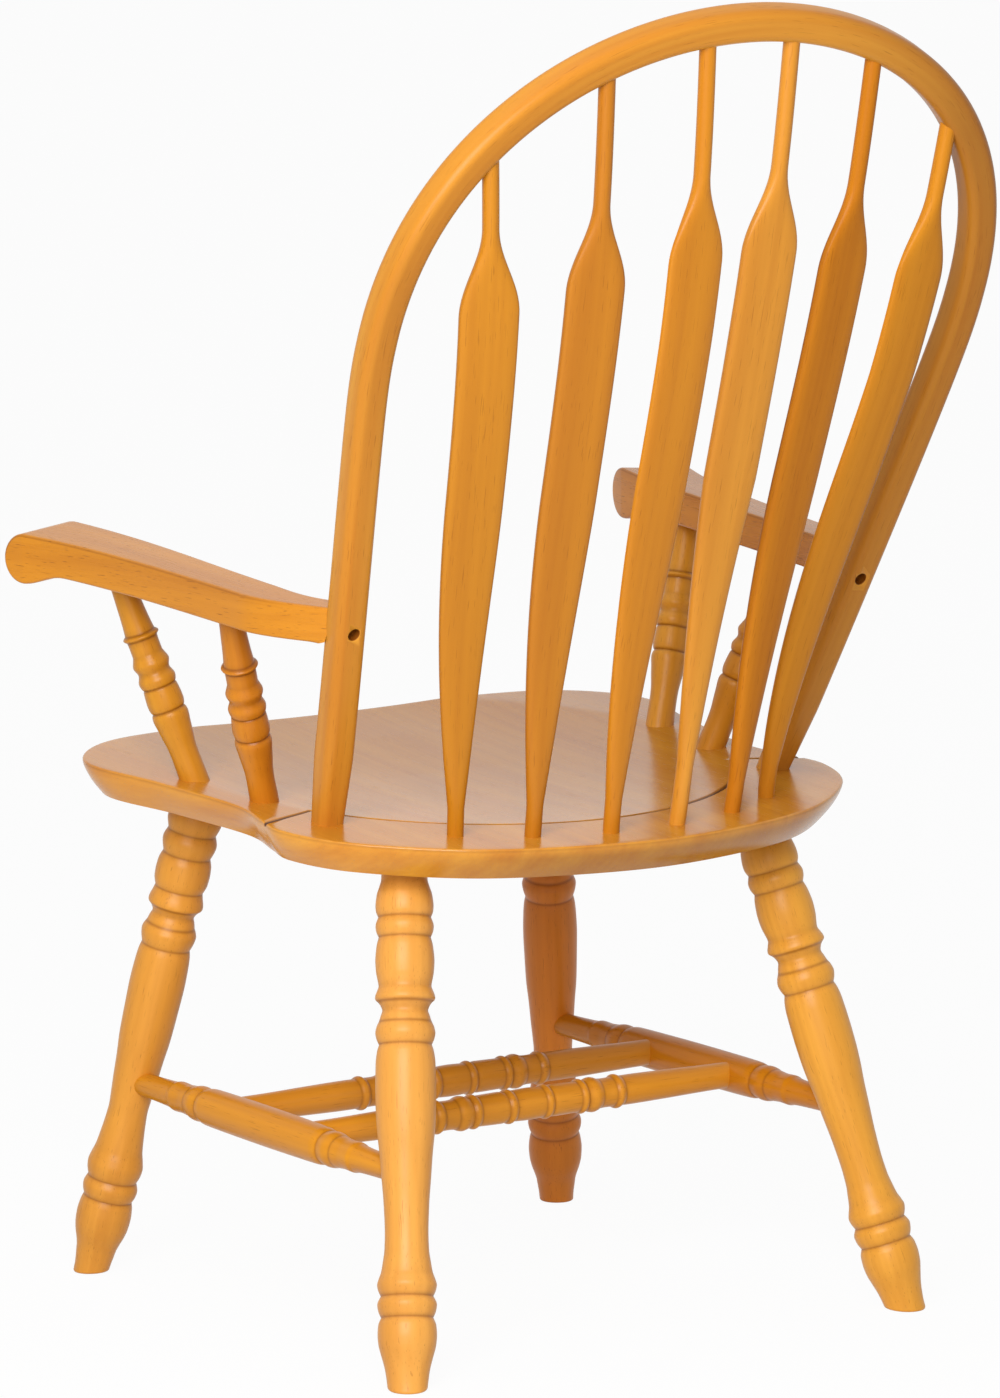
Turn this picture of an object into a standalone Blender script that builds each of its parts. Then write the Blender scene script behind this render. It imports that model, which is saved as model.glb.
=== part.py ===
"""Bow-back dining armchair in turned and bent wood.

Units are metres, +Z is up, the sitter faces -Y and +X is the sitter's left.
Places are written from the point of the floor below the middle of the seat.
One empty carries every piece, so that the finished chair stands centred on its origin.
"""
import bmesh
import bpy
from math import cos, hypot, pi, radians, sin, sqrt, tan
from mathutils import Matrix, Vector

# Fits
CLEARANCE = 0.0003            # gap between a piece and the socket or face that it meets
CUT_PAST = 0.012              # how far a drill runs out past the surface that it enters
CHAIR_SETBACK = 0.0565        # the seat's middle stands this far in front of the chair's middle

# Seat
SEAT_HEIGHT = 0.445           # deck above the floor at the middle of the seat
SEAT_TILT = radians(3.23)     # the deck falls towards the back
SEAT_THICKNESS = 0.028
SEAT_DISH = 0.010             # depth of the saddle at its middle
SEAT_DISH_FRONT = 0.240       # reach of the saddle forward, so that it lowers the front edge
SEAT_POMMEL = 0.002           # rise left in the saddle between the thighs
SEAT_ARRIS = 0.0025           # rounding of the upper edge
SEAT_UNDERCUT = 0.0145        # how far the lower edge is drawn in
SEAT_HALF_OUTLINE = (         # from the middle of the front edge round to the middle of the back
    (0.0, -0.258), (0.150, -0.256), (0.237, -0.238), (0.2855, -0.180), (0.271, -0.092),
    (0.258, 0.005), (0.268, 0.060), (0.2745, 0.101), (0.250, 0.159), (0.180, 0.221),
    (0.100, 0.252), (0.0, 0.266))
SEAT_SPAN_STEPS = 3
SEAT_RINGS = (0.90, 0.66, 0.36, 0.0)
GROOVE_DEPTH = 0.0016         # V-groove between the saddle and the deck that holds the back
GROOVE_INSIDE = 0.043         # from the spindle circle in to the groove
GROOVE_TURN = 64              # degrees round from the back where the groove leaves the circle
GROOVE_EDGE = (0.285, 0.075)  # where it runs out over the edge of the seat

# Legs: lengths run down from the seat, and the floor trims the toe
LEG_SIDES = 10
FRONT_FOOT = (0.2415, -0.2503)
REAR_FOOT = (0.2513, 0.2503)
FRONT_LEG_SOCKET = (0.1753, -0.1721)
REAR_LEG_SOCKET = (0.1776, 0.1362)
LEG_TENON = 0.016             # depth of a leg's round end in the seat
LEG_REAR_GROWTH = 1.044       # the rear pair is turned this much stouter
LEG_TOP = 0.0362
LEG_BEAD = 0.0464
LEG_GROOVE = 0.0402
LEG_COVE = 0.0358
LEG_WAIST = 0.0340
LEG_CUP = 0.0412              # where the foot of the waist turns out to its bead
LEG_ANKLE = 0.0330
LEG_TOE = 0.0300
LEG_TURNING = (               # length on a front leg, on a rear leg, diameter at the lower end, form
    (0.013, 0.018, LEG_TOP, "line"),
    (0.019, 0.0205, LEG_BEAD, "round"),
    (0.010, 0.008, LEG_GROOVE, "round"),
    (0.009, 0.008, LEG_BEAD, "round"),
    (0.011, 0.0095, LEG_GROOVE, "round"),
    (0.012, 0.018, LEG_BEAD, "round"),
    (0.006, 0.003, LEG_BEAD, "line"),
    (0.014, 0.017, LEG_GROOVE, "round"),
    (0.008, 0.007, LEG_BEAD, "round"),
    (0.005, 0.0055, LEG_BEAD, "line"),
    (0.008, 0.008, LEG_COVE, "hollow"),
    (0.018, 0.0175, LEG_BEAD, "line"),
    (0.011, 0.0105, LEG_GROOVE, "round"),
    (0.016, 0.019, LEG_BEAD, "round"),
    (0.034, 0.022, LEG_BEAD, "line"),
    (0.098, 0.112, LEG_WAIST, "ogee"),
    (0.036, 0.029, LEG_CUP, "hollow"),
    (0.017, 0.016, LEG_BEAD, "line"),
    (0.009, 0.0065, LEG_GROOVE, "round"),
    (0.0085, 0.009, LEG_BEAD, "round"),
    (0.0095, 0.0095, LEG_GROOVE, "round"),
    (0.010, 0.009, LEG_BEAD, "round"),
    (0.008, 0.008, LEG_BEAD, "line"),
    (0.030, 0.031, LEG_ANKLE, "ogee"),
    (0.019, 0.010, LEG_TOE, "line"))

# Stretchers: turned alike from the middle out to both ends
STRETCHER_SIDES = 10
STRETCHER_HEIGHT = 0.1700
STRETCHER_TENON = 0.013       # depth of a round end past the surface that it enters
CROSS_FRONT_Y = -0.062
CROSS_REAR_Y = 0.052
SIDE_END = 0.0192
SIDE_MIDDLE = 0.0332
SIDE_SHOULDER = 0.0302
SIDE_RING = 0.0280
SIDE_GROOVE = 0.0246
SIDE_NECK = 0.0230
SIDE_TURNING = (              # out from the middle
    (0.096, SIDE_SHOULDER, "line"),
    (0.006, SIDE_GROOVE, "round"),
    (0.007, SIDE_RING, "round"),
    (0.007, SIDE_GROOVE, "round"),
    (0.037, SIDE_NECK, "line"),
    (0.004, SIDE_GROOVE, "round"),
    (0.004, SIDE_NECK, "round"))
CROSS_END = 0.0190
CROSS_MIDDLE = 0.0262
CROSS_RING = 0.0286
CROSS_GROOVE = 0.0235
CROSS_NECK = 0.0225
CROSS_TURNING = (
    (0.0155, CROSS_MIDDLE, "line"),
    (0.0035, CROSS_RING, "round"),
    (0.0035, CROSS_GROOVE, "round"),
    (0.029, CROSS_MIDDLE, "line"),
    (0.004, CROSS_RING, "round"),
    (0.004, CROSS_GROOVE, "round"),
    (0.007, CROSS_RING, "round"),
    (0.007, CROSS_GROOVE, "round"),
    (0.014, CROSS_NECK, "line"),
    (0.0045, CROSS_RING, "round"),
    (0.0045, CROSS_NECK, "round"))

# Bow of the back
BOW_FOOT = (0.2245, 0.0933)
BOW_FOOT_LEAN = 0.173         # sideways lean of the limbs where they leave the seat
BOW_FOOT_REACH = 0.365        # length of the limb that keeps that lean
BOW_HALF_WIDTH = 0.2909       # at its widest
BOW_WIDEST_HEIGHT = 0.8636
BOW_LIMB_REACH = 0.0475       # stretch below the widest place that stays upright
BOW_SHOULDER_REACH = 0.1603   # stretch above it
BOW_HEIGHT = 1.104            # middle of the bow at the crown
BOW_CROWN_REACH = 0.1424      # level stretch to each side of the crown
BOW_RAKE = radians(22.15)
BOW_SAG = 0.0042              # the limbs bend back between the seat and the crown
BOW_WIDTH = 0.0284
BOW_DEPTH = 0.0262
BOW_ROUND = 0.008             # rounding of its four edges
BOW_FOOT_SLIM = 0.004         # taken off the limb where it enters the seat
BOW_FOOT_TAPER = 0.060        # length of limb that slims down
BOW_TENON = 0.016
BOW_STEPS = 10                # sections along each limb and each half of the arch

# Spindles
SPINDLE_CENTRE_Y = -0.053
SPINDLE_CIRCLE = 0.280
SPINDLE_FAN = radians(13.8)   # angle between neighbours round the circle
SPINDLE_HEAD_X = (0.0415, 0.132, 0.227)
SPINDLE_SHOULDER = (0.486, 0.472, 0.460)
SPINDLE_END = 0.0138
SPINDLE_TENON = 0.016
SPINDLE_STEM = 0.028          # round stretch above the seat
SPINDLE_BLADE_FULL = 0.300    # distance up the blade where it stops widening
SPINDLE_SWELL = 1.6           # power by which it widens up to there
SPINDLE_BLADE = 0.0485
SPINDLE_SHOULDER_WIDTH = 0.0505
SPINDLE_SHOULDER_RUN = 0.074  # from the shoulder to the neck
SPINDLE_BLADE_THICKNESS = 0.011
SPINDLE_SQUARE = 0.9          # how far the blade's oval section is squared
SPINDLE_TURN = 0.4            # share of the fan angle by which a blade faces inward
SPINDLE_BEND = 0.008          # bend back of the whole spindle
SPINDLE_LUMBAR = 0.008        # its S-bend, forward below and back above
SPINDLE_STATIONS = (0.0, 0.06, 0.11, 0.17, 0.24, 0.32, 0.40, 0.50, 0.62, 0.70)
SPINDLE_SIDES = 8

# Arms
ARM_MIDDLE_X = 0.2855
ARM_LEAN = 0.04               # the pair open towards the front
ARM_FLARE = 0.0155            # further out at the scroll
ARM_FLARE_LENGTH = 0.200
ARM_TUCK_Y = 0.080            # from here the arm turns in to the bow
ARM_TOP = 0.641               # height of the top over the middle of the seat
ARM_SLOPE = 0.0625             # fall of the top towards the back
ARM_TILT = 0.056              # fall of the top outwards, against the arm's width
ARM_THICKNESS = 0.0305
ARM_FRONT_WIDTH = 0.066
ARM_BODY_WIDTH = 0.041
ARM_END_WIDTH = 0.029
ARM_ARRIS = 0.002
SCROLL_Y = -0.197
SCROLL_RADIUS = 0.0232
SCROLL_RELIEF = 0.047         # length of the hollow under the arm behind the scroll
ARM_SCREW_REACH = 0.018       # depth of the screw in the arm
SCREW_HEAD = 0.0076
SCREW_HEAD_HEIGHT = 0.003
SCREW_SHANK = 0.0042
SCREW_COUNTERBORE = 0.008
SCREW_SIDES = 10

# Arm posts: lengths run down from the arm, and the lowest taper takes what is left
POST_SIDES = 10
FRONT_POST_FOOT = (0.2370, -0.0888)
REAR_POST_FOOT = (0.2263, 0.0018)
FRONT_POST_HEAD_Y = -0.120
REAR_POST_HEAD_Y = 0.035
POST_INSET = 0.005            # heads stand inside the arm's middle line
POST_TENON = 0.013
POST_TOP = 0.0195
POST_NECK = 0.0241
POST_RING = 0.0312
POST_GROOVE = 0.0260
POST_FOOT = 0.0252
FRONT_POST_NECK = 0.0475      # length above the first ring
REAR_POST_NECK = 0.0450
POST_STUB = 0.012             # least plain length above the seat
POST_TURNING = (
    (0.0035, POST_RING, "round"),
    (0.004, POST_GROOVE, "round"),
    (0.0135, POST_GROOVE, "line"),
    (0.0055, POST_RING, "round"),
    (0.006, POST_GROOVE, "round"),
    (0.0075, POST_RING, "round"),
    (0.0085, POST_GROOVE, "round"),
    (0.0125, POST_RING, "round"),
    (0.0065, POST_GROOVE, "round"),
    (0.0055, POST_RING, "round"),
    (0.026, POST_FOOT, "ogee"))

HONEY = (0.60, 0.29, 0.075, 1.0)
AMBER = (0.52, 0.23, 0.05, 1.0)
STRAW = (0.68, 0.36, 0.11, 1.0)
TAN = (0.62, 0.34, 0.14, 1.0)
STEEL = (0.30, 0.29, 0.28, 1.0)


# Scene and materials

def clear_scene():
    for item in list(bpy.data.objects):
        bpy.data.objects.remove(item, do_unlink=True)


def new_collection(name):
    group = bpy.data.collections.new(name)
    bpy.context.scene.collection.children.link(group)
    return group


def finish(name, colour, roughness, metallic=0.0):
    material = bpy.data.materials.new(name)
    material.use_nodes = True
    shader = material.node_tree.nodes["Principled BSDF"]
    shader.inputs["Base Color"].default_value = colour
    shader.inputs["Roughness"].default_value = roughness
    shader.inputs["Metallic"].default_value = metallic
    return material


clear_scene()
chair = new_collection("dining_armchair")
cutters = new_collection("dining_armchair_cutters")
stand = bpy.data.objects.new("chair_stand", None)
stand.location = (0.0, -CHAIR_SETBACK, 0.0)
chair.objects.link(stand)
seat_finish = finish("seat_lacquer", TAN, 0.32)
leg_finish = finish("leg_lacquer", STRAW, 0.35)
bow_finish = finish("bow_lacquer", HONEY, 0.35)
spindle_finish = finish("spindle_lacquer", AMBER, 0.38)
arm_finish = finish("arm_lacquer", HONEY, 0.35)
screw_finish = finish("screw_steel", STEEL, 0.45, 1.0)


# Ways of making a piece

def place(item, material):
    """Link a piece to the chair, or a cutter (no material) to the cutters."""
    item.parent = stand
    if material is None:
        cutters.objects.link(item)
        item.hide_render = True
        item.display_type = "WIRE"
        return item
    chair.objects.link(item)
    item.data.materials.append(material)
    return item


def axis_frame(start, end):
    """Frame at start whose Z runs to end."""
    turn = (end - start).to_track_quat("Z", "Y").to_matrix().to_4x4()
    return Matrix.Translation(start) @ turn


def turned(name, profile, frame, sides, material=None):
    """Spin a profile of (radius, height) pairs, listed from the top down, about the frame's Z."""
    points = [(0.0, profile[0][1])] + list(profile) + [(0.0, profile[-1][1])]
    mesh = bpy.data.meshes.new(name)
    edges = [(k, k + 1) for k in range(len(points) - 1)]
    mesh.from_pydata([(radius, 0.0, height) for radius, height in points], edges, [])
    item = bpy.data.objects.new(name, mesh)
    item.matrix_local = frame
    spin = item.modifiers.new("spin", "SCREW")
    spin.steps = sides
    spin.render_steps = sides
    spin.use_merge_vertices = True
    spin.merge_threshold = 0.00001
    return place(item, material)


def lofted(name, rings, material=None):
    """Skin a row of rings with equal point counts, and cap both ends."""
    shell = bmesh.new()
    rows = [[shell.verts.new(point) for point in ring] for ring in rings]
    count = len(rows[0])
    for lower, upper in zip(rows, rows[1:]):
        for k in range(count):
            n = (k + 1) % count
            shell.faces.new((lower[k], lower[n], upper[n], upper[k]))
    shell.faces.new(list(reversed(rows[0])))
    shell.faces.new(rows[-1])
    bmesh.ops.remove_doubles(shell, verts=shell.verts, dist=0.00001)
    bmesh.ops.dissolve_degenerate(shell, edges=shell.edges, dist=0.00001)
    bmesh.ops.recalc_face_normals(shell, faces=shell.faces)
    mesh = bpy.data.meshes.new(name)
    shell.to_mesh(mesh)
    shell.free()
    return place(bpy.data.objects.new(name, mesh), material)


def cut(item, cutter):
    knife = item.modifiers.new(cutter.name, "BOOLEAN")
    knife.operation = "DIFFERENCE"
    knife.solver = "EXACT"
    knife.object = cutter


def drill(name, diameter, frame, low, high, sides):
    """Cutter for a round socket between two heights of a frame, with the fit's clearance."""
    radius = diameter / 2 + CLEARANCE
    return turned(name, [(radius, high), (radius, low)], frame, sides)


# Turning: a profile is a chain of lines, rounds, hollows and ogees

def form_share(form, rising, t):
    """Share of the length and of the change in radius at a step of a form."""
    if form == "ogee":
        return t, (1 - cos(pi * t)) / 2
    if form == "line":
        return t, t
    steep_first = rising == (form == "round")
    if steep_first:
        return 1 - cos(pi * t / 2), sin(pi * t / 2)
    return sin(pi * t / 2), 1 - cos(pi * t / 2)


def form_steps(form):
    return {"line": 1, "round": 2, "hollow": 2, "ogee": 4}[form]


def turning(first_diameter, rows):
    """Radius and distance along the work for each step of the rows."""
    radius = first_diameter / 2
    along = 0.0
    chain = [(radius, along)]
    for length, diameter, form in rows:
        change = diameter / 2 - radius
        steps = form_steps(form)
        for k in range(1, steps + 1):
            run, rise = form_share(form, change > 0, k / steps)
            chain.append((radius + change * rise, along + length * run))
        radius = diameter / 2
        along += length
    return chain


def total_length(rows):
    return sum(row[0] for row in rows)


def shortened(rows, room):
    """The rows, closed up in proportion where their piece has less room than they need."""
    share = min(1.0, room / total_length(rows))
    return tuple((length * share, diameter, form) for length, diameter, form in rows)


def deck_height(y):
    return SEAT_HEIGHT - tan(SEAT_TILT) * y


def underside_height(y):
    return deck_height(y) - SEAT_THICKNESS / cos(SEAT_TILT)


# Seat: a dished plank with a shaped outline and an undercut edge

def seat_outline():
    """Closed smooth curve through the half outline and its mirror image."""
    half = [Vector(point) for point in SEAT_HALF_OUTLINE]
    loop = half + [Vector((-p.x, p.y)) for p in reversed(half[1:-1])]
    count = len(loop)
    curve = []
    for k in range(count):
        a, b, c, d = (loop[(k + n - 1) % count] for n in range(4))
        for step in range(SEAT_SPAN_STEPS):
            t = step / SEAT_SPAN_STEPS
            curve.append((b * 2 + (c - a) * t + (a * 2 - b * 5 + c * 4 - d) * t ** 2
                          + (b * 3 - a - c * 3 + d) * t ** 3) / 2)
    return curve


def inset_outline(curve, distance):
    """The outline drawn in along its own normals."""
    count = len(curve)
    drawn = []
    for k in range(count):
        along = curve[(k + 1) % count] - curve[k - 1]
        inward = Vector((-along.y, along.x)).normalized()
        drawn.append(curve[k] + inward * distance)
    return drawn


def saddle_height(x, y):
    """Height of the saddle against the deck: a bowl with a low ridge towards the front."""
    reach = SPINDLE_CIRCLE - GROOVE_INSIDE
    ahead = max(0.0, SPINDLE_CENTRE_Y - y) / SEAT_DISH_FRONT
    behind = max(0.0, y - SPINDLE_CENTRE_Y) / reach
    inside = 1 - (x / reach) ** 2 - ahead ** 2 - behind ** 2
    if inside <= 0:
        return 0.0
    ridge = max(0.0, 1 - (2 * x / reach) ** 2) ** 2 * min(1.0, 2 * ahead)
    return inside * (SEAT_POMMEL * ridge - SEAT_DISH)


seat_frame = (Matrix.Translation((0.0, 0.0, SEAT_HEIGHT))
              @ Matrix.Rotation(-SEAT_TILT, 4, "X"))
outline = seat_outline()
edge_depths = ((SEAT_UNDERCUT, SEAT_THICKNESS),
               (SEAT_UNDERCUT * 0.36, SEAT_THICKNESS * 0.66),
               (0.0, SEAT_ARRIS * 1.3),
               (SEAT_ARRIS * 0.3, SEAT_ARRIS * 0.3))
seat_rings = []
for inset, depth in edge_depths:
    share = 1 - depth / SEAT_THICKNESS
    seat_rings.append([Vector((p.x, p.y, saddle_height(p.x, p.y) * share - depth))
                       for p in inset_outline(outline, inset)])
rim = inset_outline(outline, SEAT_ARRIS)
for share in (1.0,) + SEAT_RINGS:
    seat_rings.append([Vector((p.x * share, p.y * share, saddle_height(p.x * share, p.y * share)))
                       for p in rim])
seat = lofted("seat", seat_rings, seat_finish)
seat.matrix_local = seat_frame


def groove_path():
    """Arc inside the spindle circle, run out straight over both edges of the seat."""
    reach = SPINDLE_CIRCLE - GROOVE_INSIDE
    arc = [Vector((reach * sin(radians(a)), SPINDLE_CENTRE_Y + reach * cos(radians(a)), 0.0))
           for a in range(-GROOVE_TURN, GROOVE_TURN + 1, 8)]
    start = Vector((-GROOVE_EDGE[0], GROOVE_EDGE[1], 0.0))
    end = Vector((GROOVE_EDGE[0], GROOVE_EDGE[1], 0.0))
    return [start] + arc + [end]


def groove_rings(path, half):
    """Square section on its corner along the path, so that its lower half cuts a V."""
    rings = []
    for k, point in enumerate(path):
        along = path[min(k + 1, len(path) - 1)] - path[max(k - 1, 0)]
        side = Vector((-along.y, along.x, 0.0)).normalized() * half
        up = Vector((0.0, 0.0, half))
        rings.append([point + side, point + up, point - side, point - up])
    return rings


groove_cutter = lofted("groove_cutter", groove_rings(groove_path(), GROOVE_DEPTH))
groove_cutter.matrix_local = seat_frame
cut(seat, groove_cutter)


# Legs: one pattern, with the toe trimmed level with the floor

def leg_axis(side, foot, socket):
    """Foot on the floor and socket point on the seat's underside."""
    low = Vector((side * foot[0], foot[1], 0.0))
    high = Vector((side * socket[0], socket[1], underside_height(socket[1])))
    return low, high


def point_at_height(low, high, z):
    return low + (high - low) * ((z - low.z) / (high.z - low.z))


def leg_rows(leg_name):
    """The turning in the lengths and the stoutness of the front or the rear pair."""
    if leg_name == "leg_front":
        return tuple((front, diameter, form) for front, rear, diameter, form in LEG_TURNING)
    return tuple((rear, diameter * LEG_REAR_GROWTH, form) for front, rear, diameter, form in LEG_TURNING)


floor_mesh = bpy.data.meshes.new("floor_cutter")
slab = bmesh.new()
bmesh.ops.create_cube(slab, size=1.0, matrix=Matrix.Diagonal((1.6, 1.6, 0.2, 1.0)))
slab.to_mesh(floor_mesh)
slab.free()
floor_cutter = place(bpy.data.objects.new("floor_cutter", floor_mesh), None)
floor_cutter.location = (0.0, 0.0, -0.1)

LEG_PLACES = (("leg_front", FRONT_FOOT, FRONT_LEG_SOCKET), ("leg_rear", REAR_FOOT, REAR_LEG_SOCKET))
SIDES = (("left", 1), ("right", -1))
legs = {}
leg_axes = {}
leg_chains = {}
for leg_name, foot, socket in LEG_PLACES:
    rows = leg_rows(leg_name)
    top, ankle, toe = rows[0][1], rows[-2][1], rows[-1][1]
    for side_name, side in SIDES:
        low, high = leg_axis(side, foot, socket)
        length = (high - low).length
        lean = hypot(high.x - low.x, high.y - low.y) / (high.z - low.z)
        spare = max(CLEARANCE, length + ankle * lean - total_length(rows))
        chain = turning(top, rows + ((spare, toe, "line"),))
        profile = [(top / 2, length + LEG_TENON)]
        profile += [(radius, length - along) for radius, along in chain]
        frame = axis_frame(low, high)
        name = f"{leg_name}_{side_name}"
        legs[name] = turned(name, profile, frame, LEG_SIDES, leg_finish)
        leg_axes[name] = (low, high)
        leg_chains[name] = chain
        cut(legs[name], floor_cutter)
        cut(seat, drill(f"{name}_socket", top, frame, length - CUT_PAST,
                        length + LEG_TENON + CLEARANCE, LEG_SIDES))


# Stretchers: two along the sides, and two across between those

def stretcher_profile(half, middle, rows, end):
    """Both halves of a stretcher turned alike, with a round end at each."""
    reach = total_length(rows)
    taper = (half - reach) * 0.55
    chain = turning(middle, rows + ((taper, end, "line"), (half - reach - taper, end, "line")))
    upper = [(radius, along) for radius, along in reversed(chain)]
    lower = [(radius, -along) for radius, along in chain[1:]]
    return upper + lower


def leg_radius_at(leg_name, length_from_top):
    """Radius of a leg's turning at a distance below the seat."""
    chain = leg_chains[leg_name]
    for (upper, start), (lower, stop) in zip(chain, chain[1:]):
        if start <= length_from_top <= stop:
            return upper + (lower - upper) * (length_from_top - start) / (stop - start)
    return chain[-1][0]


side_axes = {}
side_stretchers = {}
for side_name, side in SIDES:
    ends = []
    for leg_name in (f"leg_front_{side_name}", f"leg_rear_{side_name}"):
        low, high = leg_axes[leg_name]
        ends.append((point_at_height(low, high, STRETCHER_HEIGHT), leg_name))
    front, rear = ends[0][0], ends[1][0]
    along = (rear - front).normalized()
    trims = []
    for point, leg_name in ends:
        radius = leg_radius_at(leg_name, (leg_axes[leg_name][1] - point).length)
        trims.append(radius - STRETCHER_TENON)
    start, stop = front + along * trims[0], rear - along * trims[1]
    middle = (start + stop) / 2
    half = (stop - start).length / 2
    frame = axis_frame(middle, stop)
    name = f"side_stretcher_{side_name}"
    profile = stretcher_profile(half, SIDE_MIDDLE, SIDE_TURNING, SIDE_END)
    side_stretchers[side_name] = turned(name, profile, frame, STRETCHER_SIDES, leg_finish)
    side_axes[side_name] = (front, rear)
    reach = STRETCHER_TENON + 4 * CUT_PAST
    cut(legs[f"leg_rear_{side_name}"], drill(f"{name}_rear_socket", SIDE_END, frame,
                                             half - reach, half + CLEARANCE, STRETCHER_SIDES))
    cut(legs[f"leg_front_{side_name}"], drill(f"{name}_front_socket", SIDE_END, frame,
                                              -half - CLEARANCE, reach - half, STRETCHER_SIDES))

for cross_name, cross_y in (("front", CROSS_FRONT_Y), ("rear", CROSS_REAR_Y)):
    front, rear = side_axes["left"]
    left = front + (rear - front) * ((cross_y - front.y) / (rear.y - front.y))
    half = left.x - SIDE_MIDDLE / 2 + STRETCHER_TENON
    frame = axis_frame(Vector((0.0, left.y, left.z)), left)
    name = f"cross_stretcher_{cross_name}"
    profile = stretcher_profile(half, CROSS_MIDDLE, CROSS_TURNING, CROSS_END)
    turned(name, profile, frame, STRETCHER_SIDES, leg_finish)
    reach = STRETCHER_TENON + CUT_PAST
    cut(side_stretchers["left"], drill(f"{name}_left_socket", CROSS_END, frame,
                                       half - reach, half + CLEARANCE, STRETCHER_SIDES))
    cut(side_stretchers["right"], drill(f"{name}_right_socket", CROSS_END, frame,
                                        -half - CLEARANCE, reach - half, STRETCHER_SIDES))


# Bow: one bent rail from seat to seat, raked and a little hollow

BOW_FOOT_HEIGHT = deck_height(BOW_FOOT[1])


def bow_slope(z):
    """Backward run of the bow per unit of height."""
    rise = BOW_HEIGHT - BOW_FOOT_HEIGHT
    return tan(BOW_RAKE) + 4 * BOW_SAG / rise * (1 - 2 * (z - BOW_FOOT_HEIGHT) / rise)


def bow_y(z):
    rise = BOW_HEIGHT - BOW_FOOT_HEIGHT
    share = (z - BOW_FOOT_HEIGHT) / rise
    return BOW_FOOT[1] + tan(BOW_RAKE) * share * rise + 4 * BOW_SAG * share * (1 - share)


def bezier(a, b, c, d, t):
    s = 1 - t
    return a * s ** 3 + b * (3 * s * s * t) + c * (3 * s * t * t) + d * t ** 3


def bow_front_view(t):
    """Half outline in the front view: 0 to 1 is the limb and 1 to 2 is the arch to the crown.

    Below 0 the limb runs straight on into the seat, by that many metres.
    """
    foot = Vector((BOW_FOOT[0], BOW_FOOT_HEIGHT))
    wide = Vector((BOW_HALF_WIDTH, BOW_WIDEST_HEIGHT))
    crown = Vector((0.0, BOW_HEIGHT))
    lean = Vector((BOW_FOOT_LEAN, 1.0)).normalized()
    up = Vector((0.0, 1.0))
    if t <= 0:
        return foot + lean * t
    if t <= 1:
        return bezier(foot, foot + lean * BOW_FOOT_REACH, wide - up * BOW_LIMB_REACH, wide, t)
    return bezier(wide, wide + up * BOW_SHOULDER_REACH,
                  crown + Vector((BOW_CROWN_REACH, 0.0)), crown, t - 1)


def bow_point(t):
    flat = bow_front_view(t)
    return Vector((flat.x, bow_y(flat.y), flat.y))


def bow_normal(z):
    """Direction square to the bow's plane, towards the back."""
    return Vector((0.0, 1.0, -bow_slope(z))).normalized()


def solve(function, low, high, target):
    """Value between low and high at which a rising function meets the target."""
    for _ in range(48):
        middle = (low + high) / 2
        if function(middle) < target:
            low = middle
        else:
            high = middle
    return (low + high) / 2


def rounded_section(width, depth, rounding):
    """Twelve points of a rectangle with three points on each rounded corner."""
    points = []
    for across, back in ((1, 1), (-1, 1), (-1, -1), (1, -1)):
        start = {(1, 1): 0, (-1, 1): 90, (-1, -1): 180, (1, -1): 270}[(across, back)]
        for step in (0, 45, 90):
            angle = radians(start + step)
            points.append((across * (width / 2 - rounding) + rounding * cos(angle),
                           back * (depth / 2 - rounding) + rounding * sin(angle)))
    return points


def bow_ring(t, grow):
    """Section of the bow at a place of its left half."""
    step = 0.002
    point = bow_point(t)
    along = (bow_point(min(2.0, t + step)) - bow_point(t - step)).normalized()
    back = bow_normal(point.z)
    across = along.cross(back).normalized()
    slim = 0.0
    above = point.z - BOW_FOOT_HEIGHT
    if above < BOW_FOOT_TAPER:
        slim = BOW_FOOT_SLIM * min(1.0, 1 - above / BOW_FOOT_TAPER)
    section = rounded_section(BOW_WIDTH - slim + 2 * grow, BOW_DEPTH - slim + 2 * grow,
                              BOW_ROUND + grow)
    return [point + across * a + back * b for a, b in section]


def mirrored(ring):
    return [Vector((-p.x, p.y, p.z)) for p in ring]


limb_steps = [-BOW_TENON, 0.0] + [k / BOW_STEPS for k in range(1, BOW_STEPS)]
arch_steps = [1 + k / BOW_STEPS for k in range(BOW_STEPS)]
left_rings = [bow_ring(t, 0.0) for t in limb_steps + arch_steps]
crown_ring = [Vector((0.0, p.y, p.z)) for p in bow_ring(2.0, 0.0)]
right_rings = [mirrored(ring) for ring in reversed(left_rings)]
back_bow = lofted("back_bow", left_rings + [crown_ring] + right_rings, bow_finish)
open_share = CUT_PAST / (3 * BOW_FOOT_REACH)
socket_rings = [bow_ring(t, CLEARANCE) for t in (-BOW_TENON - CLEARANCE, 0.0, open_share)]
cut(seat, lofted("bow_socket_left", socket_rings))
cut(seat, lofted("bow_socket_right", [mirrored(ring) for ring in socket_rings]))


# Spindles: round at both ends, with a flat blade that bends to the sitter's back

def spindle_curve(place_number, side, f):
    """Middle line of a spindle from the deck, at 0, to the middle of the bow, at 1."""
    angle = (place_number + 0.5) * SPINDLE_FAN
    x = SPINDLE_CIRCLE * sin(angle)
    y = SPINDLE_CENTRE_Y + SPINDLE_CIRCLE * cos(angle)
    foot = Vector((x, y, deck_height(y)))
    t = solve(lambda value: -bow_front_view(value).x, 1.0, 2.0, -SPINDLE_HEAD_X[place_number])
    head = bow_point(t)
    bend = SPINDLE_BEND * sin(pi * f) - SPINDLE_LUMBAR * sin(2 * pi * f)
    point = foot + (head - foot) * f + Vector((0.0, bend, 0.0))
    return Vector((side * point.x, point.y, point.z)), (head - foot).length


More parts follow.
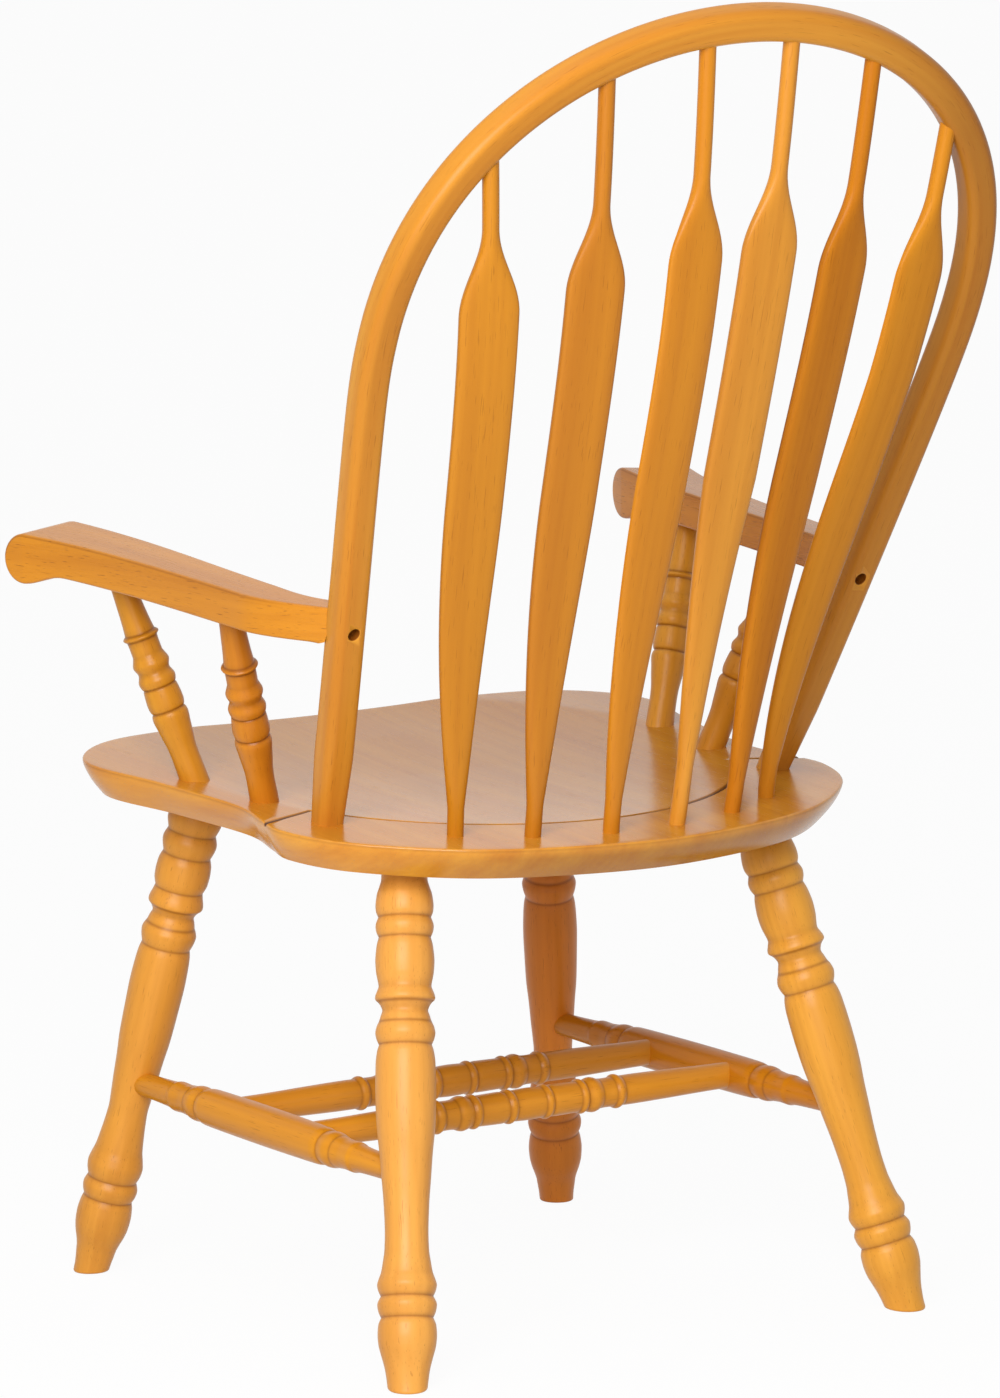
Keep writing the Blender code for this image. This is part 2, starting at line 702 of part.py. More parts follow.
def spindle_width(along, shoulder):
    """Blade width at a distance above the deck."""
    neck = shoulder + SPINDLE_SHOULDER_RUN
    if along <= SPINDLE_STEM or along >= neck:
        return SPINDLE_END
    if along <= SPINDLE_BLADE_FULL:
        t = (along - SPINDLE_STEM) / (SPINDLE_BLADE_FULL - SPINDLE_STEM)
        return SPINDLE_END + (SPINDLE_BLADE - SPINDLE_END) * (1 - (1 - t) ** SPINDLE_SWELL)
    if along <= shoulder:
        t = (along - SPINDLE_BLADE_FULL) / (shoulder - SPINDLE_BLADE_FULL)
        return SPINDLE_BLADE + (SPINDLE_SHOULDER_WIDTH - SPINDLE_BLADE) * t
    t = (along - shoulder) / SPINDLE_SHOULDER_RUN
    return SPINDLE_END + (SPINDLE_SHOULDER_WIDTH - SPINDLE_END) * (1 + cos(pi * t)) / 2


def spindle_ring(place_number, side, f, grow):
    """Oval section: round at the ends, flat and squarer in the blade."""
    step = 0.001
    point, length = spindle_curve(place_number, side, f)
    along = spindle_curve(place_number, side, f + step)[0]
    along = (along - spindle_curve(place_number, side, f - step)[0]).normalized()
    facing = side * SPINDLE_TURN * (place_number + 0.5) * SPINDLE_FAN
    across = Vector((cos(facing), -sin(facing), 0.0))
    back = across.cross(along).normalized()
    across = along.cross(back).normalized()
    width = spindle_width(f * length, SPINDLE_SHOULDER[place_number])
    flat = (width - SPINDLE_END) / (SPINDLE_BLADE - SPINDLE_END)
    depth = SPINDLE_END + (SPINDLE_BLADE_THICKNESS - SPINDLE_END) * min(1.0, flat)
    squareness = 1 / (1 + SPINDLE_SQUARE * min(1.0, flat))
    ring = []
    for k in range(SPINDLE_SIDES):
        c = cos(2 * pi * k / SPINDLE_SIDES)
        s = sin(2 * pi * k / SPINDLE_SIDES)
        a = (width / 2 + grow) * (abs(c) ** squareness) * (1 if c >= 0 else -1)
        b = (depth / 2 + grow) * (abs(s) ** squareness) * (1 if s >= 0 else -1)
        ring.append(point + across * a + back * b)
    return ring


def bow_entry(length):
    """Share of a spindle's length at which its socket in the bow is well open."""
    return 1 - (BOW_WIDTH + CUT_PAST) / length


def spindle_stations(place_number):
    """Shares of the length: tenon, stem, blade, shoulder and neck."""
    length = spindle_curve(place_number, 1, 0.0)[1]
    shoulder = SPINDLE_SHOULDER[place_number]
    rounding = [shoulder + SPINDLE_SHOULDER_RUN * t for t in (0.0, 0.2, 0.4, 0.6, 0.8, 1.0)]
    blade = [SPINDLE_STEM + (shoulder - SPINDLE_STEM) * t / SPINDLE_STATIONS[-1]
             for t in SPINDLE_STATIONS[:-1]]
    shares = [along / length for along in blade + rounding] + [bow_entry(length)]
    return [-SPINDLE_TENON / length] + sorted(shares) + [1.0]


spindle_number = 0
for side, numbers in ((1, (2, 1, 0)), (-1, (0, 1, 2))):
    for place_number in numbers:
        spindle_number += 1
        name = f"spindle_{spindle_number}"
        length = spindle_curve(place_number, side, 0.0)[1]
        rings = [spindle_ring(place_number, side, f, 0.0) for f in spindle_stations(place_number)]
        lofted(name, rings, spindle_finish)
        foot_shares = (-(SPINDLE_TENON + CLEARANCE) / length, SPINDLE_STEM / length)
        head_shares = (bow_entry(length), 1 + CLEARANCE / length)
        cut(seat, lofted(f"{name}_foot_socket",
                         [spindle_ring(place_number, side, f, CLEARANCE) for f in foot_shares]))
        cut(back_bow, lofted(f"{name}_head_socket",
                             [spindle_ring(place_number, side, f, CLEARANCE)
                              for f in head_shares]))


# Arms: sawn to a scroll in the side view and to a waisted blade in plan

def arm_top(y):
    return ARM_TOP - ARM_SLOPE * y


bow_arm_t = solve(lambda t: bow_point(t).z, 0.0, 1.0,
                  arm_top(bow_y(ARM_TOP)) - ARM_THICKNESS / 2)
bow_at_arm = bow_point(bow_arm_t)
bow_back = bow_normal(bow_at_arm.z)
arm_seat = bow_at_arm - bow_back * (BOW_DEPTH / 2 + CLEARANCE)


def arm_x(y):
    """Middle line of the left arm in plan."""
    x = ARM_MIDDLE_X - ARM_LEAN * y
    if y < 0:
        return x + ARM_FLARE * (-y / ARM_FLARE_LENGTH) ** 3
    if y > ARM_TUCK_Y:
        tuck = ARM_MIDDLE_X - ARM_LEAN * arm_seat.y - arm_seat.x
        return x - tuck * ((y - ARM_TUCK_Y) / (arm_seat.y - ARM_TUCK_Y)) ** 2
    return x


def arm_width(y):
    if y <= ARM_TUCK_Y:
        t = (ARM_TUCK_Y - y) / (ARM_TUCK_Y - SCROLL_Y)
        return ARM_BODY_WIDTH + (ARM_FRONT_WIDTH - ARM_BODY_WIDTH) * min(1.0, t) ** 1.6
    t = min(1.0, (y - ARM_TUCK_Y) / (arm_seat.y - ARM_TUCK_Y))
    return ARM_BODY_WIDTH + (ARM_END_WIDTH - ARM_BODY_WIDTH) * (1 - cos(pi * t)) / 2


def arm_heights(y):
    """Lower and upper height of the arm's side view."""
    middle = arm_top(SCROLL_Y) - SCROLL_RADIUS
    if y < SCROLL_Y:
        half = sqrt(max(0.0, SCROLL_RADIUS ** 2 - (y - SCROLL_Y) ** 2))
        return middle - half, middle + half
    t = min(1.0, (y - SCROLL_Y) / SCROLL_RELIEF)
    under_scroll = middle - SCROLL_RADIUS
    under_arm = arm_top(y) - ARM_THICKNESS
    return under_scroll + (under_arm - under_scroll) * (1 - cos(pi * t)) / 2, arm_top(y)


def arm_ring(y, side):
    """Rectangle with broken edges, square to the arm's middle line."""
    step = 0.001
    along = Vector((arm_x(y + step) - arm_x(y - step), 2 * step, 0.0)).normalized()
    across = Vector((along.y, -along.x, 0.0))
    low, high = arm_heights(y)
    half = arm_width(y) / 2
    chip = min(ARM_ARRIS, (high - low) / 3)
    corners = ((half, low + chip), (half, high - chip), (half - chip, high), (chip - half, high),
               (-half, high - chip), (-half, low + chip), (chip - half, low), (half - chip, low))
    middle = Vector((arm_x(y), y, 0.0))
    ring = [middle + across * a + Vector((0.0, 0.0, z - ARM_TILT * a)) for a, z in corners]
    if y >= arm_seat.y - CUT_PAST:
        ring = [p + along * ((arm_seat - p).dot(bow_back) / along.dot(bow_back)) for p in ring]
    return [Vector((side * p.x, p.y, p.z)) for p in ring]


scroll_stations = [SCROLL_Y - SCROLL_RADIUS * cos(radians(a)) for a in (0, 15, 35, 60, 90)]
relief_stations = [SCROLL_Y + SCROLL_RELIEF * k / 4 for k in (1, 2, 3, 4)]
body_start = SCROLL_Y + SCROLL_RELIEF
body_stop = arm_seat.y - 2 * CUT_PAST
body_stations = [body_start + (body_stop - body_start) * k / 8 for k in range(1, 9)]
arm_stations = scroll_stations + relief_stations + body_stations + [arm_seat.y]


def screw_profile(grow):
    """Head under its counterbore and shank into the arm, along the frame's Z."""
    head = SCREW_HEAD / 2 + grow
    shank = SCREW_SHANK / 2 + grow
    deep = BOW_DEPTH + ARM_SCREW_REACH + grow
    face = SCREW_COUNTERBORE
    outside = face - CUT_PAST if grow else face
    return [(shank, deep), (shank, face + SCREW_HEAD_HEIGHT + grow),
            (head, face + SCREW_HEAD_HEIGHT + grow), (head, outside)]


arms = {}
for side_name, side in SIDES:
    name = f"arm_{side_name}"
    arms[side_name] = lofted(name, [arm_ring(y, side) for y in arm_stations], arm_finish)
    start = bow_at_arm + bow_back * (BOW_DEPTH / 2)
    start = Vector((side * start.x, start.y, start.z))
    frame = axis_frame(start, start - bow_back)
    turned(f"arm_screw_{side_name}", screw_profile(0.0), frame, SCREW_SIDES, screw_finish)
    drill_hole = turned(f"arm_screw_hole_{side_name}", screw_profile(CLEARANCE), frame, SCREW_SIDES)
    cut(arms[side_name], drill_hole)
    cut(back_bow, drill_hole)


# Arm posts: one turning, longer or shorter at the neck and the foot

POST_PLACES = (("front", FRONT_POST_FOOT, FRONT_POST_HEAD_Y, FRONT_POST_NECK),
               ("rear", REAR_POST_FOOT, REAR_POST_HEAD_Y, REAR_POST_NECK))
for post_name, foot, head_y, neck in POST_PLACES:
    for side_name, side in SIDES:
        low = Vector((side * foot[0], foot[1], deck_height(foot[1])))
        high = Vector((side * (arm_x(head_y) - POST_INSET), head_y, arm_heights(head_y)[0]))
        length = (high - low).length
        rows = shortened(((neck, POST_NECK, "line"),) + POST_TURNING, length - POST_STUB)
        rows += ((length - total_length(rows), POST_FOOT, "line"), (POST_TENON, POST_FOOT, "line"))
        profile = [(POST_TOP / 2, length + POST_TENON)]
        profile += [(radius, length - along) for radius, along in turning(POST_TOP, rows)]
        frame = axis_frame(low, high)
        name = f"arm_post_{post_name}_{side_name}"
        turned(name, profile, frame, POST_SIDES, leg_finish)
        cut(seat, drill(f"{name}_foot_socket", POST_FOOT, frame, -POST_TENON - CLEARANCE,
                        CUT_PAST, POST_SIDES))
        cut(arms[side_name], drill(f"{name}_head_socket", POST_TOP, frame, length - CUT_PAST,
                                   length + POST_TENON + CLEARANCE, POST_SIDES))
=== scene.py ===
import bmesh
import bpy
import numpy as np
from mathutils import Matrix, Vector


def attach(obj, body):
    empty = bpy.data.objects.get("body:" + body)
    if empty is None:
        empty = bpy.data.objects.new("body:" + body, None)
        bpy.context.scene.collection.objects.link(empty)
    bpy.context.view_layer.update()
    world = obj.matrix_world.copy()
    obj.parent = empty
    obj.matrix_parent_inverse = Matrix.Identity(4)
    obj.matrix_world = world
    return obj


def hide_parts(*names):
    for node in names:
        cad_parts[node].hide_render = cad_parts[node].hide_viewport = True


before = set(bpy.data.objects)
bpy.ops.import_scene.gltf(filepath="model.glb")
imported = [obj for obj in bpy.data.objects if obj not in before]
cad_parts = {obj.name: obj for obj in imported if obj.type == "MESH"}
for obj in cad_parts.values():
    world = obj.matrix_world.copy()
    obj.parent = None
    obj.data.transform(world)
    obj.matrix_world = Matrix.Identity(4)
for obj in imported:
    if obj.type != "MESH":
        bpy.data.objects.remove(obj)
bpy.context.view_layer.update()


# Seat: a plank of boards glued side by side, their fibres running from front to back, sawn to a waisted
# outline, hollowed for the sitter and undercut at the edge. A V-groove runs inside the row of spindles.
# The plank is tilted back on its legs, and every other place in this file is taken from its middle.
SEAT_MIDDLE = np.array([0.0, -0.0565, 0.0])
SEAT_HEIGHT = 0.445
SEAT_TILT = np.radians(3.23)
SEAT_THICKNESS = 0.028
SEAT_ARRIS = 0.0018
SEAT_UNDERCUT = 0.0165
SEAT_DISH = 0.010
SEAT_DISH_FRONT = 0.240
SEAT_POMMEL = 0.002
SEAT_BOARD = 0.088
DARKER_GROWTH = (0.86, 0.80, 0.66)
SPINDLE_CENTRE_Y = -0.053
GROOVE_RADIUS = 0.237
GROOVE_TURN = np.radians(64)
GROOVE_HALF = 0.0026
GROOVE_DEPTH = 0.0034
GROOVE_END_REACH = 0.262
GROOVE_FADE = 0.003
SEAT_POLE_Y = -0.026
SEAT_HALF_OUTLINE = np.array([
    (0.0, -0.258), (0.150, -0.256), (0.237, -0.238), (0.2855, -0.180), (0.271, -0.092), (0.258, 0.005),
    (0.268, 0.060), (0.2745, 0.101), (0.250, 0.159), (0.180, 0.221), (0.100, 0.252), (0.0, 0.266)])


def smooth_loop(points, steps):
    """Closed curve through a row of points: on each span the cubic whose slopes are half the chords."""
    t = np.arange(steps)[None, :, None] / steps
    a, b, c, d = (np.roll(points, 1 - n, axis=0)[:, None] for n in range(4))
    curve = (2 * b + (c - a) * t + (2 * a - 5 * b + 4 * c - d) * t ** 2
             + (3 * b - a - 3 * c + d) * t ** 3)
    return curve.reshape(-1, points.shape[1]) / 2


def deck_height(y):
    """Height of the plank's flat rim at a distance behind its middle."""
    return SEAT_HEIGHT - np.tan(SEAT_TILT) * y


def saddle(x, y):
    """Depth of the hollow: a bowl that ends on the groove, with a low ridge towards the front."""
    ahead = np.maximum(0, SPINDLE_CENTRE_Y - y) / SEAT_DISH_FRONT
    behind = np.maximum(0, y - SPINDLE_CENTRE_Y) / GROOVE_RADIUS
    bowl = np.maximum(0, 1 - (x / GROOVE_RADIUS) ** 2 - ahead ** 2 - behind ** 2)
    ridge = np.maximum(0, 1 - (2 * x / GROOVE_RADIUS) ** 2) ** 2 * np.minimum(1, 2 * ahead)
    return bowl * (SEAT_DISH - SEAT_POMMEL * ridge)


def skin(name, rows, grain, hollow):
    """Closed skin over rows of points whose columns run round: each row joins the next, the last column
    joins the first, and a row drawn together to one place closes an end. The attribute grain is the
    place in the plank the piece was cut from, with the fibres along its third number. The other
    attribute is 1 where the colour goes darkest: mostly painted shade, with some gathered stain."""
    count, sides = rows.shape[:2]
    index = np.arange(count * sides).reshape(count, sides)
    beside = np.roll(index, -1, axis=1)
    quads = np.stack((index[:-1], beside[:-1], beside[1:], index[1:]), axis=-1).reshape(-1, 4)
    mesh = bpy.data.meshes.new(name)
    mesh.from_pydata(rows.reshape(-1, 3), [], quads)
    held = mesh.attributes.new("grain", "FLOAT_VECTOR", "POINT")
    held.data.foreach_set("vector", np.broadcast_to(grain, rows.shape).astype(np.float32).ravel())
    held = mesh.attributes.new("hollow", "FLOAT", "POINT")
    held.data.foreach_set("value", np.broadcast_to(hollow, rows.shape[:2]).astype(np.float32).ravel())
    shell = bmesh.new()
    shell.from_mesh(mesh)
    bmesh.ops.remove_doubles(shell, verts=shell.verts, dist=0.000002)
    bmesh.ops.recalc_face_normals(shell, faces=shell.faces)
    shell.to_mesh(mesh)
    shell.free()
    mesh.shade_smooth()
    mesh.set_sharp_from_angle(angle=np.radians(42))
    piece = bpy.data.objects.new(name, mesh)
    bpy.context.scene.collection.objects.link(piece)
    return piece


class Shade:
    """A value in a material: arithmetic on it adds Math nodes, and node() adds any other node."""

    def __init__(self, tree, socket=None):
        self.tree = tree
        self.socket = socket

    def node(self, kind, settings, inputs, output=0):
        """A node of a type: its settings come first, then the values or links of its sockets."""
        made = self.tree.nodes.new(kind)
        for key, setting in settings.items():
            setattr(made, key, setting)
        for key, given in inputs.items():
            if isinstance(given, Shade):
                self.tree.links.new(given.socket, made.inputs[key])
            else:
                made.inputs[key].default_value = given
        return Shade(self.tree, made.outputs[output])

    def math(self, operation, first, second):
        """A Math node on two values."""
        return self.node("ShaderNodeMath", {"operation": operation}, {0: first, 1: second})

    def __add__(self, other):
        return self.math("ADD", self, other)

    def __sub__(self, other):
        return self.math("SUBTRACT", self, other)

    def __rsub__(self, other):
        return self.math("SUBTRACT", other, self)

    def __mul__(self, other):
        return self.math("MULTIPLY", self, other)

    __radd__ = __add__
    __rmul__ = __mul__


def stain(red, green, blue):
    """A colour card's 0 to 255 values as light."""
    card = np.array((red, green, blue)) / 255
    return tuple(np.where(card > 0.04045, ((card + 0.055) / 1.055) ** 2.4, card / 12.92)) + (1.0,)


def new_finish(name):
    """A material with nodes, its node tree and its main shader."""
    material = bpy.data.materials.new(name)
    material.use_nodes = True
    return material, material.node_tree, material.node_tree.nodes["Principled BSDF"]


def lacquered_wood(name, tint, seed, deep=None, gloss=0.32, polish=0.25, darkening=0.75, board=0.0,
                   pores=0.33, ink=1.0):
    """Stained and lacquered wood of a tint, deep in its darker growth. Noise stretched along the fibres
    gives the broad tone and the streaks, a sine across them the growth rings, and a cut-off fine noise
    a few short dark pores. Painted shade, with some gathered stain, turns the colour towards a dark
    brown where the piece's shade attribute is high, the darker the lower ink is. Where board is not 0,
    it is the width after which the plank changes from one glued board to the next."""
    pale = stain(*tint)
    deep = stain(*(np.array(tint) * DARKER_GROWTH if deep is None else deep))
    material, tree, lacquer = new_finish(name)
    wood = Shade(tree)
    place = wood.node("ShaderNodeAttribute", {"attribute_name": "grain"}, {}, "Vector")
    hollow = wood.node("ShaderNodeAttribute", {"attribute_name": "hollow"}, {}, "Fac")
    shift = (seed * 3.7, seed * 5.3, seed * 1.9)
    if board:
        side = place.node("ShaderNodeSeparateXYZ", {}, {0: place}, "X")
        number = side.math("FLOOR", side * (1 / board) + 0.5, 0.0)
        apart = number.node("ShaderNodeCombineXYZ", {},
                            {0: number * 1.37, 1: number * 0.83, 2: number * 2.11})
        place = place.node("ShaderNodeVectorMath", {"operation": "ADD"}, {0: place, 1: apart})

    def stretched(across, along, detail):
        """Noise whose flecks are drawn out along the fibres."""
        drawn = place.node("ShaderNodeVectorMath", {"operation": "MULTIPLY_ADD"},
                           {0: place, 1: (across, across, along), 2: shift})
        return drawn.node("ShaderNodeTexNoise", {}, {"Vector": drawn, "Scale": 1.0, "Detail": detail})

    broad = stretched(42.0, 1.7, 2.0)
    streak = stretched(240.0, 5.0, 3.0)
    fleck = stretched(1150.0, 48.0, 1.0)
    pore = fleck.node("ShaderNodeMapRange", {"interpolation_type": "SMOOTHSTEP"},
                      {0: fleck, 1: 0.66, 2: 0.73, 3: 0.0, 4: 1.0})
    across = place.node("ShaderNodeVectorMath", {"operation": "DOT_PRODUCT"},
                        {0: place, 1: (760.0, 420.0, 6.0)}, "Value")
    ring = across.math("SINE", across + broad * 14.0, 0.0)
    tone = 0.5 + (broad - 0.5) * 1.4 + (streak - 0.5) * 0.45 + ring * 0.035
    blend = {"data_type": "RGBA"}
    dark = tuple(ink * np.array(deep[:3]) * (0.32, 0.21, 0.15)) + (1.0,)
    colour = tone.node("ShaderNodeMix", blend, {0: tone, 6: deep, 7: pale}, 2)
    colour = colour.node("ShaderNodeMix", blend, {0: pore * pores, 6: colour, 7: dark}, 2)
    # painted shade and gathered stain from the piece's shade attribute
    colour = colour.node("ShaderNodeMix", blend, {0: hollow * darkening, 6: colour, 7: dark}, 2)
    rough = gloss + (streak - 0.5) * 0.10 + pore * 0.08
    relief = streak * 0.35 - pore * 0.8
    surface = relief.node("ShaderNodeBump", {},
                          {"Strength": 0.08, "Distance": 0.0004, "Height": relief})
    tree.links.new(colour.socket, lacquer.inputs["Base Color"])
    tree.links.new(rough.socket, lacquer.inputs["Roughness"])
    tree.links.new(surface.socket, lacquer.inputs["Normal"])
    lacquer.inputs["Specular IOR Level"].default_value = polish
    return material


def fit(piece, node, material):
    """Give a piece its finish, set it on the chair's one body, and let it stand for its solid."""
    piece.data.materials.append(material)
    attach(piece, "root")
    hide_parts(node)


def seat_rows():
    """The plank as rows round a pole: out over the hollow, over the arris, down the undercut edge and
    in below. One row follows the groove's arc and one spoke each side its run-out, so that the V is cut
    in the surface. Shade is painted dark into the groove; the top, the arris and the undercut edge are
    a little darker, the top and edge more towards the sitter's right."""
    edge = smooth_loop(np.concatenate((SEAT_HALF_OUTLINE, SEAT_HALF_OUTLINE[-2:0:-1] * (-1, 1))), 24)
    edge = edge - (0.0, SEAT_POLE_Y)
    pole_lead = SEAT_POLE_Y - SPINDLE_CENTRE_Y
    end = np.arctan2(GROOVE_RADIUS * np.sin(GROOVE_TURN),
                     GROOVE_RADIUS * np.cos(GROOVE_TURN) - pole_lead)
    spokes = np.radians(np.arange(-180, 180, 1.5))
    spokes = spokes[np.abs(np.abs(spokes) - end) > np.radians(1.1)]
    fine = end + np.array((-1.15, -0.6, 0.0, 0.6, 1.15)) * GROOVE_HALF / GROOVE_END_REACH
    angle = np.sort(np.concatenate((spokes, fine, -fine)))
    reach = np.interp(angle, np.arctan2(edge[:, 0], edge[:, 1]), np.hypot(edge[:, 0], edge[:, 1]),
                      period=2 * np.pi)
    arc = np.sqrt(GROOVE_RADIUS ** 2 - (pole_lead * np.sin(angle)) ** 2) - pole_lead * np.cos(angle)
    behind = np.abs(angle) <= end + 0.0001
    at_end = np.argmin(np.abs(angle - end))
    arc = np.where(behind, arc, reach * arc[at_end] / reach[at_end])
    rim = reach - SEAT_ARRIS
    inner = np.linspace(0, 1, 44)[:, None] * (arc - GROOVE_HALF)
    vee = arc + GROOVE_HALF * np.array((-0.5, 0.0, 0.5))[:, None]
    outer = arc + GROOVE_HALF + (rim - arc - GROOVE_HALF) * np.linspace(0, 1, 12)[:, None]
    top = np.concatenate((inner, vee, outer))
    bend = np.radians(np.linspace(0, 90, 7))[1:, None]
    arris = reach - SEAT_ARRIS * (1 - np.sin(bend))
    arris_depth = SEAT_ARRIS * (1 - np.cos(bend))
    share = np.linspace(0, 1, 14)[1:, None]
    under = reach - SEAT_UNDERCUT * share ** 1.5
    under_depth = SEAT_ARRIS + (SEAT_THICKNESS - SEAT_ARRIS) * share
    below = (reach - SEAT_UNDERCUT) * np.array((0.99, 0.66, 0.33, 0.0))[:, None]
    radius = np.concatenate((top, arris, under, below))
    depth = np.concatenate((0 * top, arris_depth + 0 * arris, under_depth + 0 * under,
                            SEAT_THICKNESS + 0 * below))
    x = radius * np.sin(angle)
    y = SEAT_POLE_Y + radius * np.cos(angle)
    past_end = np.abs(angle) - end
    from_arc = np.abs(np.hypot(x, y - SPINDLE_CENTRE_Y) - GROOVE_RADIUS) + ~behind
    from_spoke = radius * np.abs(np.sin(past_end)) + (radius < arc - 0.0001) + (np.cos(past_end) < 0.9)
    vee_share = np.clip(1 - np.minimum(from_arc, from_spoke) / GROOVE_HALF, 0, 1)
    on_top = np.clip(1 - depth / GROOVE_FADE, 0, 1)
    z = -depth - saddle(x, y) * (1 - depth / SEAT_THICKNESS) - GROOVE_DEPTH * vee_share * on_top
    flat = np.stack((x, y, z), axis=-1)
    tilted = np.stack((x, y * np.cos(SEAT_TILT) + z * np.sin(SEAT_TILT),
                       SEAT_HEIGHT - y * np.sin(SEAT_TILT) + z * np.cos(SEAT_TILT)), axis=-1)
    # Painted shade in the groove; the top, the arris and the undercut edge are darker too, more towards
    # the sitter's right.
    top_darkening = 0.07 + 0.11 * np.clip((0.15 - x) / 0.20, 0, 1)
    edge_darkening = 0.37 * np.clip(depth / 0.010, 0, 1) * np.clip((0.24 - x) / 0.14, 0, 1)
    arris_darkening = 0.3 * np.clip(1 - np.abs(depth - SEAT_ARRIS) / SEAT_ARRIS, 0, 1) * (depth > 0)
    hollow = np.maximum(np.clip(4 * vee_share, top_darkening, 1) * on_top ** 0.5,
                        np.maximum(edge_darkening, arris_darkening))
    return tilted + SEAT_MIDDLE, flat[..., [0, 2, 1]], hollow


seat = skin("seat_plank", *seat_rows())
fit(seat, "seat",
    lacquered_wood("seat_lacquer", (219, 152, 50), 1.0, deep=(193, 119, 31), gloss=0.22, polish=0.37,
                   darkening=1.0, board=SEAT_BOARD, ink=0.4))


# Legs: two pairs turned to one pattern of beads, grooves and a long waist, the rear pair stouter, and
# splayed out from round tenons in the underside of the seat. The toes are cut level and eased.
FRONT_FOOT = (0.2415, -0.2503)
REAR_FOOT = (0.2513, 0.2503)
FRONT_LEG_SOCKET = (0.1753, -0.1721)
REAR_LEG_SOCKET = (0.1776, 0.1362)
LEG_TENON = 0.016
LEG_TOE_FIT = 0.030
LEG_TOE_EASE = 0.0022
FRONT_LEG_TURNING = (
    # distance down from the seat and diameter at each crest, valley and shoulder, in millimetres;
    # a diameter with a minus sign is a sharp cut
    (0, 36.0), (14, 37.4), (23, 43.4), (31, 46.4), (42, -41.0), (51, 46.4), (62.5, -40.6), (70, 45.4),
    (78, 46.6), (85, 45.8), (93, -40.8), (98, 43.4), (102, 45.8), (105.5, 47.0), (107.2, 46.4),
    (109, -43.0), (112, 38.2), (115.5, 35.8), (120, 38.8), (125, -41.4), (129, 45.4), (132, 46.9),
    (136, 46.0), (144, -41.3), (151, 44.4), (160, 45.9), (177, 47.0), (200, 45.9), (225, 44.0),
    (245, 40.4), (265, 37.6), (281, 35.0), (291, 33.7), (303, 35.1), (318, 38.2), (327, 40.6),
    (335, 44.8), (342, 47.4), (346, 46.7), (354, -41.8), (362, 46.8), (366, 45.7), (371.5, -41.4),
    (378, 44.9), (387, 46.6), (395, 45.7), (403, 42.6), (411, 37.4), (416, 34.5), (423, 32.6),
    (430, 30.6), (438, 29.6), (470, 29.6))
REAR_LEG_TURNING = (
    (0, 37.0), (15, 38.0), (21, 41.2), (27, 45.1), (37, 47.5), (41, 46.8), (46, -43.0), (53.5, 47.6),
    (57, 46.8), (62.5, -42.4), (70, 46.2), (82, 48.3), (91, 47.2), (97, 45.0), (102.5, 43.2),
    (107, 46.2), (110, 48.4), (112.3, 49.2), (113.8, 48.2), (115.6, -44.4), (118.5, 40.2),
    (122.5, 37.5), (127, 40.2), (132, -43.4), (136.5, 47.4), (141, 49.0), (145, 47.6), (150.5, -43.0),
    (157, 46.8), (166, 48.8), (188, 49.6), (205, 49.0), (220, 47.3), (240, 43.3), (260, 40.3),
    (280, 37.2), (304, 35.5), (318, 36.4), (327, 38.9), (336, 42.1), (341.5, 46.0), (346.5, 48.6),
    (350, 47.4), (355.5, -42.8), (362.5, 48.5), (367.5, 47.0), (373, -42.4), (379.5, 47.3),
    (387, 48.3), (395, 46.9), (404, 42.4), (412, 38.0), (418, 35.6), (425, 33.7), (431, 32.6),
    (470, 32.0))
# Painted shade, with some gathered stain, in the sharp cuts and the valleys of the turnings
CUT_STEEPNESS, CUT_SHADE, CUT_SHADE_WIDTH = 1.2, 0.8, 0.0013
VALLEY_SHADE, VALLEY_DEPTH, VALLEY_SPAN = 0.5, 0.0018, 27
SIDES = (("left", 1), ("right", -1))


def turning(rows):
    """Turned outline as distance, radius and painted shade through rows of distance and diameter: a
    cubic between each two rows, level at a crest or valley, steeper than the straight line at a sharp
    cut, and elsewhere sloped by the harmonic mean of the slopes to both sides. Shade is painted dark,
    with some gathered stain, into the cuts and, less, where the outline lies below its own mean over
    VALLEY_SPAN half millimetres."""
    at, wide = np.array(rows, dtype=float).T * np.array(((0.001,), (0.0005,)))
    radius = np.abs(wide)
    step = np.diff(at)
    rise = np.diff(radius) / step
    before, after = rise[:-1], rise[1:]
    going_on = before * after > 0
    slope = np.zeros(len(at))
    slope[1:-1] = np.where(going_on, 2 * before * after, 0) / np.where(going_on, before + after, 1)
    leaving = np.where(wide[:-1] < 0, CUT_STEEPNESS * rise, slope[:-1])
    coming = np.where(wide[1:] < 0, CUT_STEEPNESS * rise, slope[1:])
    along = np.unique(np.concatenate((at, np.arange(0, at[-1], 0.0008))))
    n = np.clip(np.searchsorted(at, along, "right") - 1, 0, len(step) - 1)
    t = (along - at[n]) / step[n]
    bulge = step[n] * t * (1 - t) * (leaving[n] * (1 - t) - coming[n] * t)
    outline = radius[n] + (radius[n + 1] - radius[n]) * t * t * (3 - 2 * t) + bulge
    fine = np.arange(along[0], along[-1], 0.0005)
    height = np.interp(fine, along, outline)
    mean = np.convolve(np.pad(height, VALLEY_SPAN // 2, mode="edge"),
                       np.full(VALLEY_SPAN, 1 / VALLEY_SPAN), "valid")
    below = np.interp(along, fine, np.clip((mean - height) / VALLEY_DEPTH, 0, 1))
    in_cut = np.exp(-(np.subtract.outer(along, at[wide < 0]) / CUT_SHADE_WIDTH) ** 2).sum(axis=1)
    return along, outline, np.clip(np.maximum(VALLEY_SHADE * below, CUT_SHADE * in_cut), 0, 1)


def square_to(axis):
    """Two unit directions square to an axis and to each other."""
    first = np.cross(axis, (0.31, 0.93, 0.21))
    first = first / np.linalg.norm(first)
    return first, np.cross(axis, first)


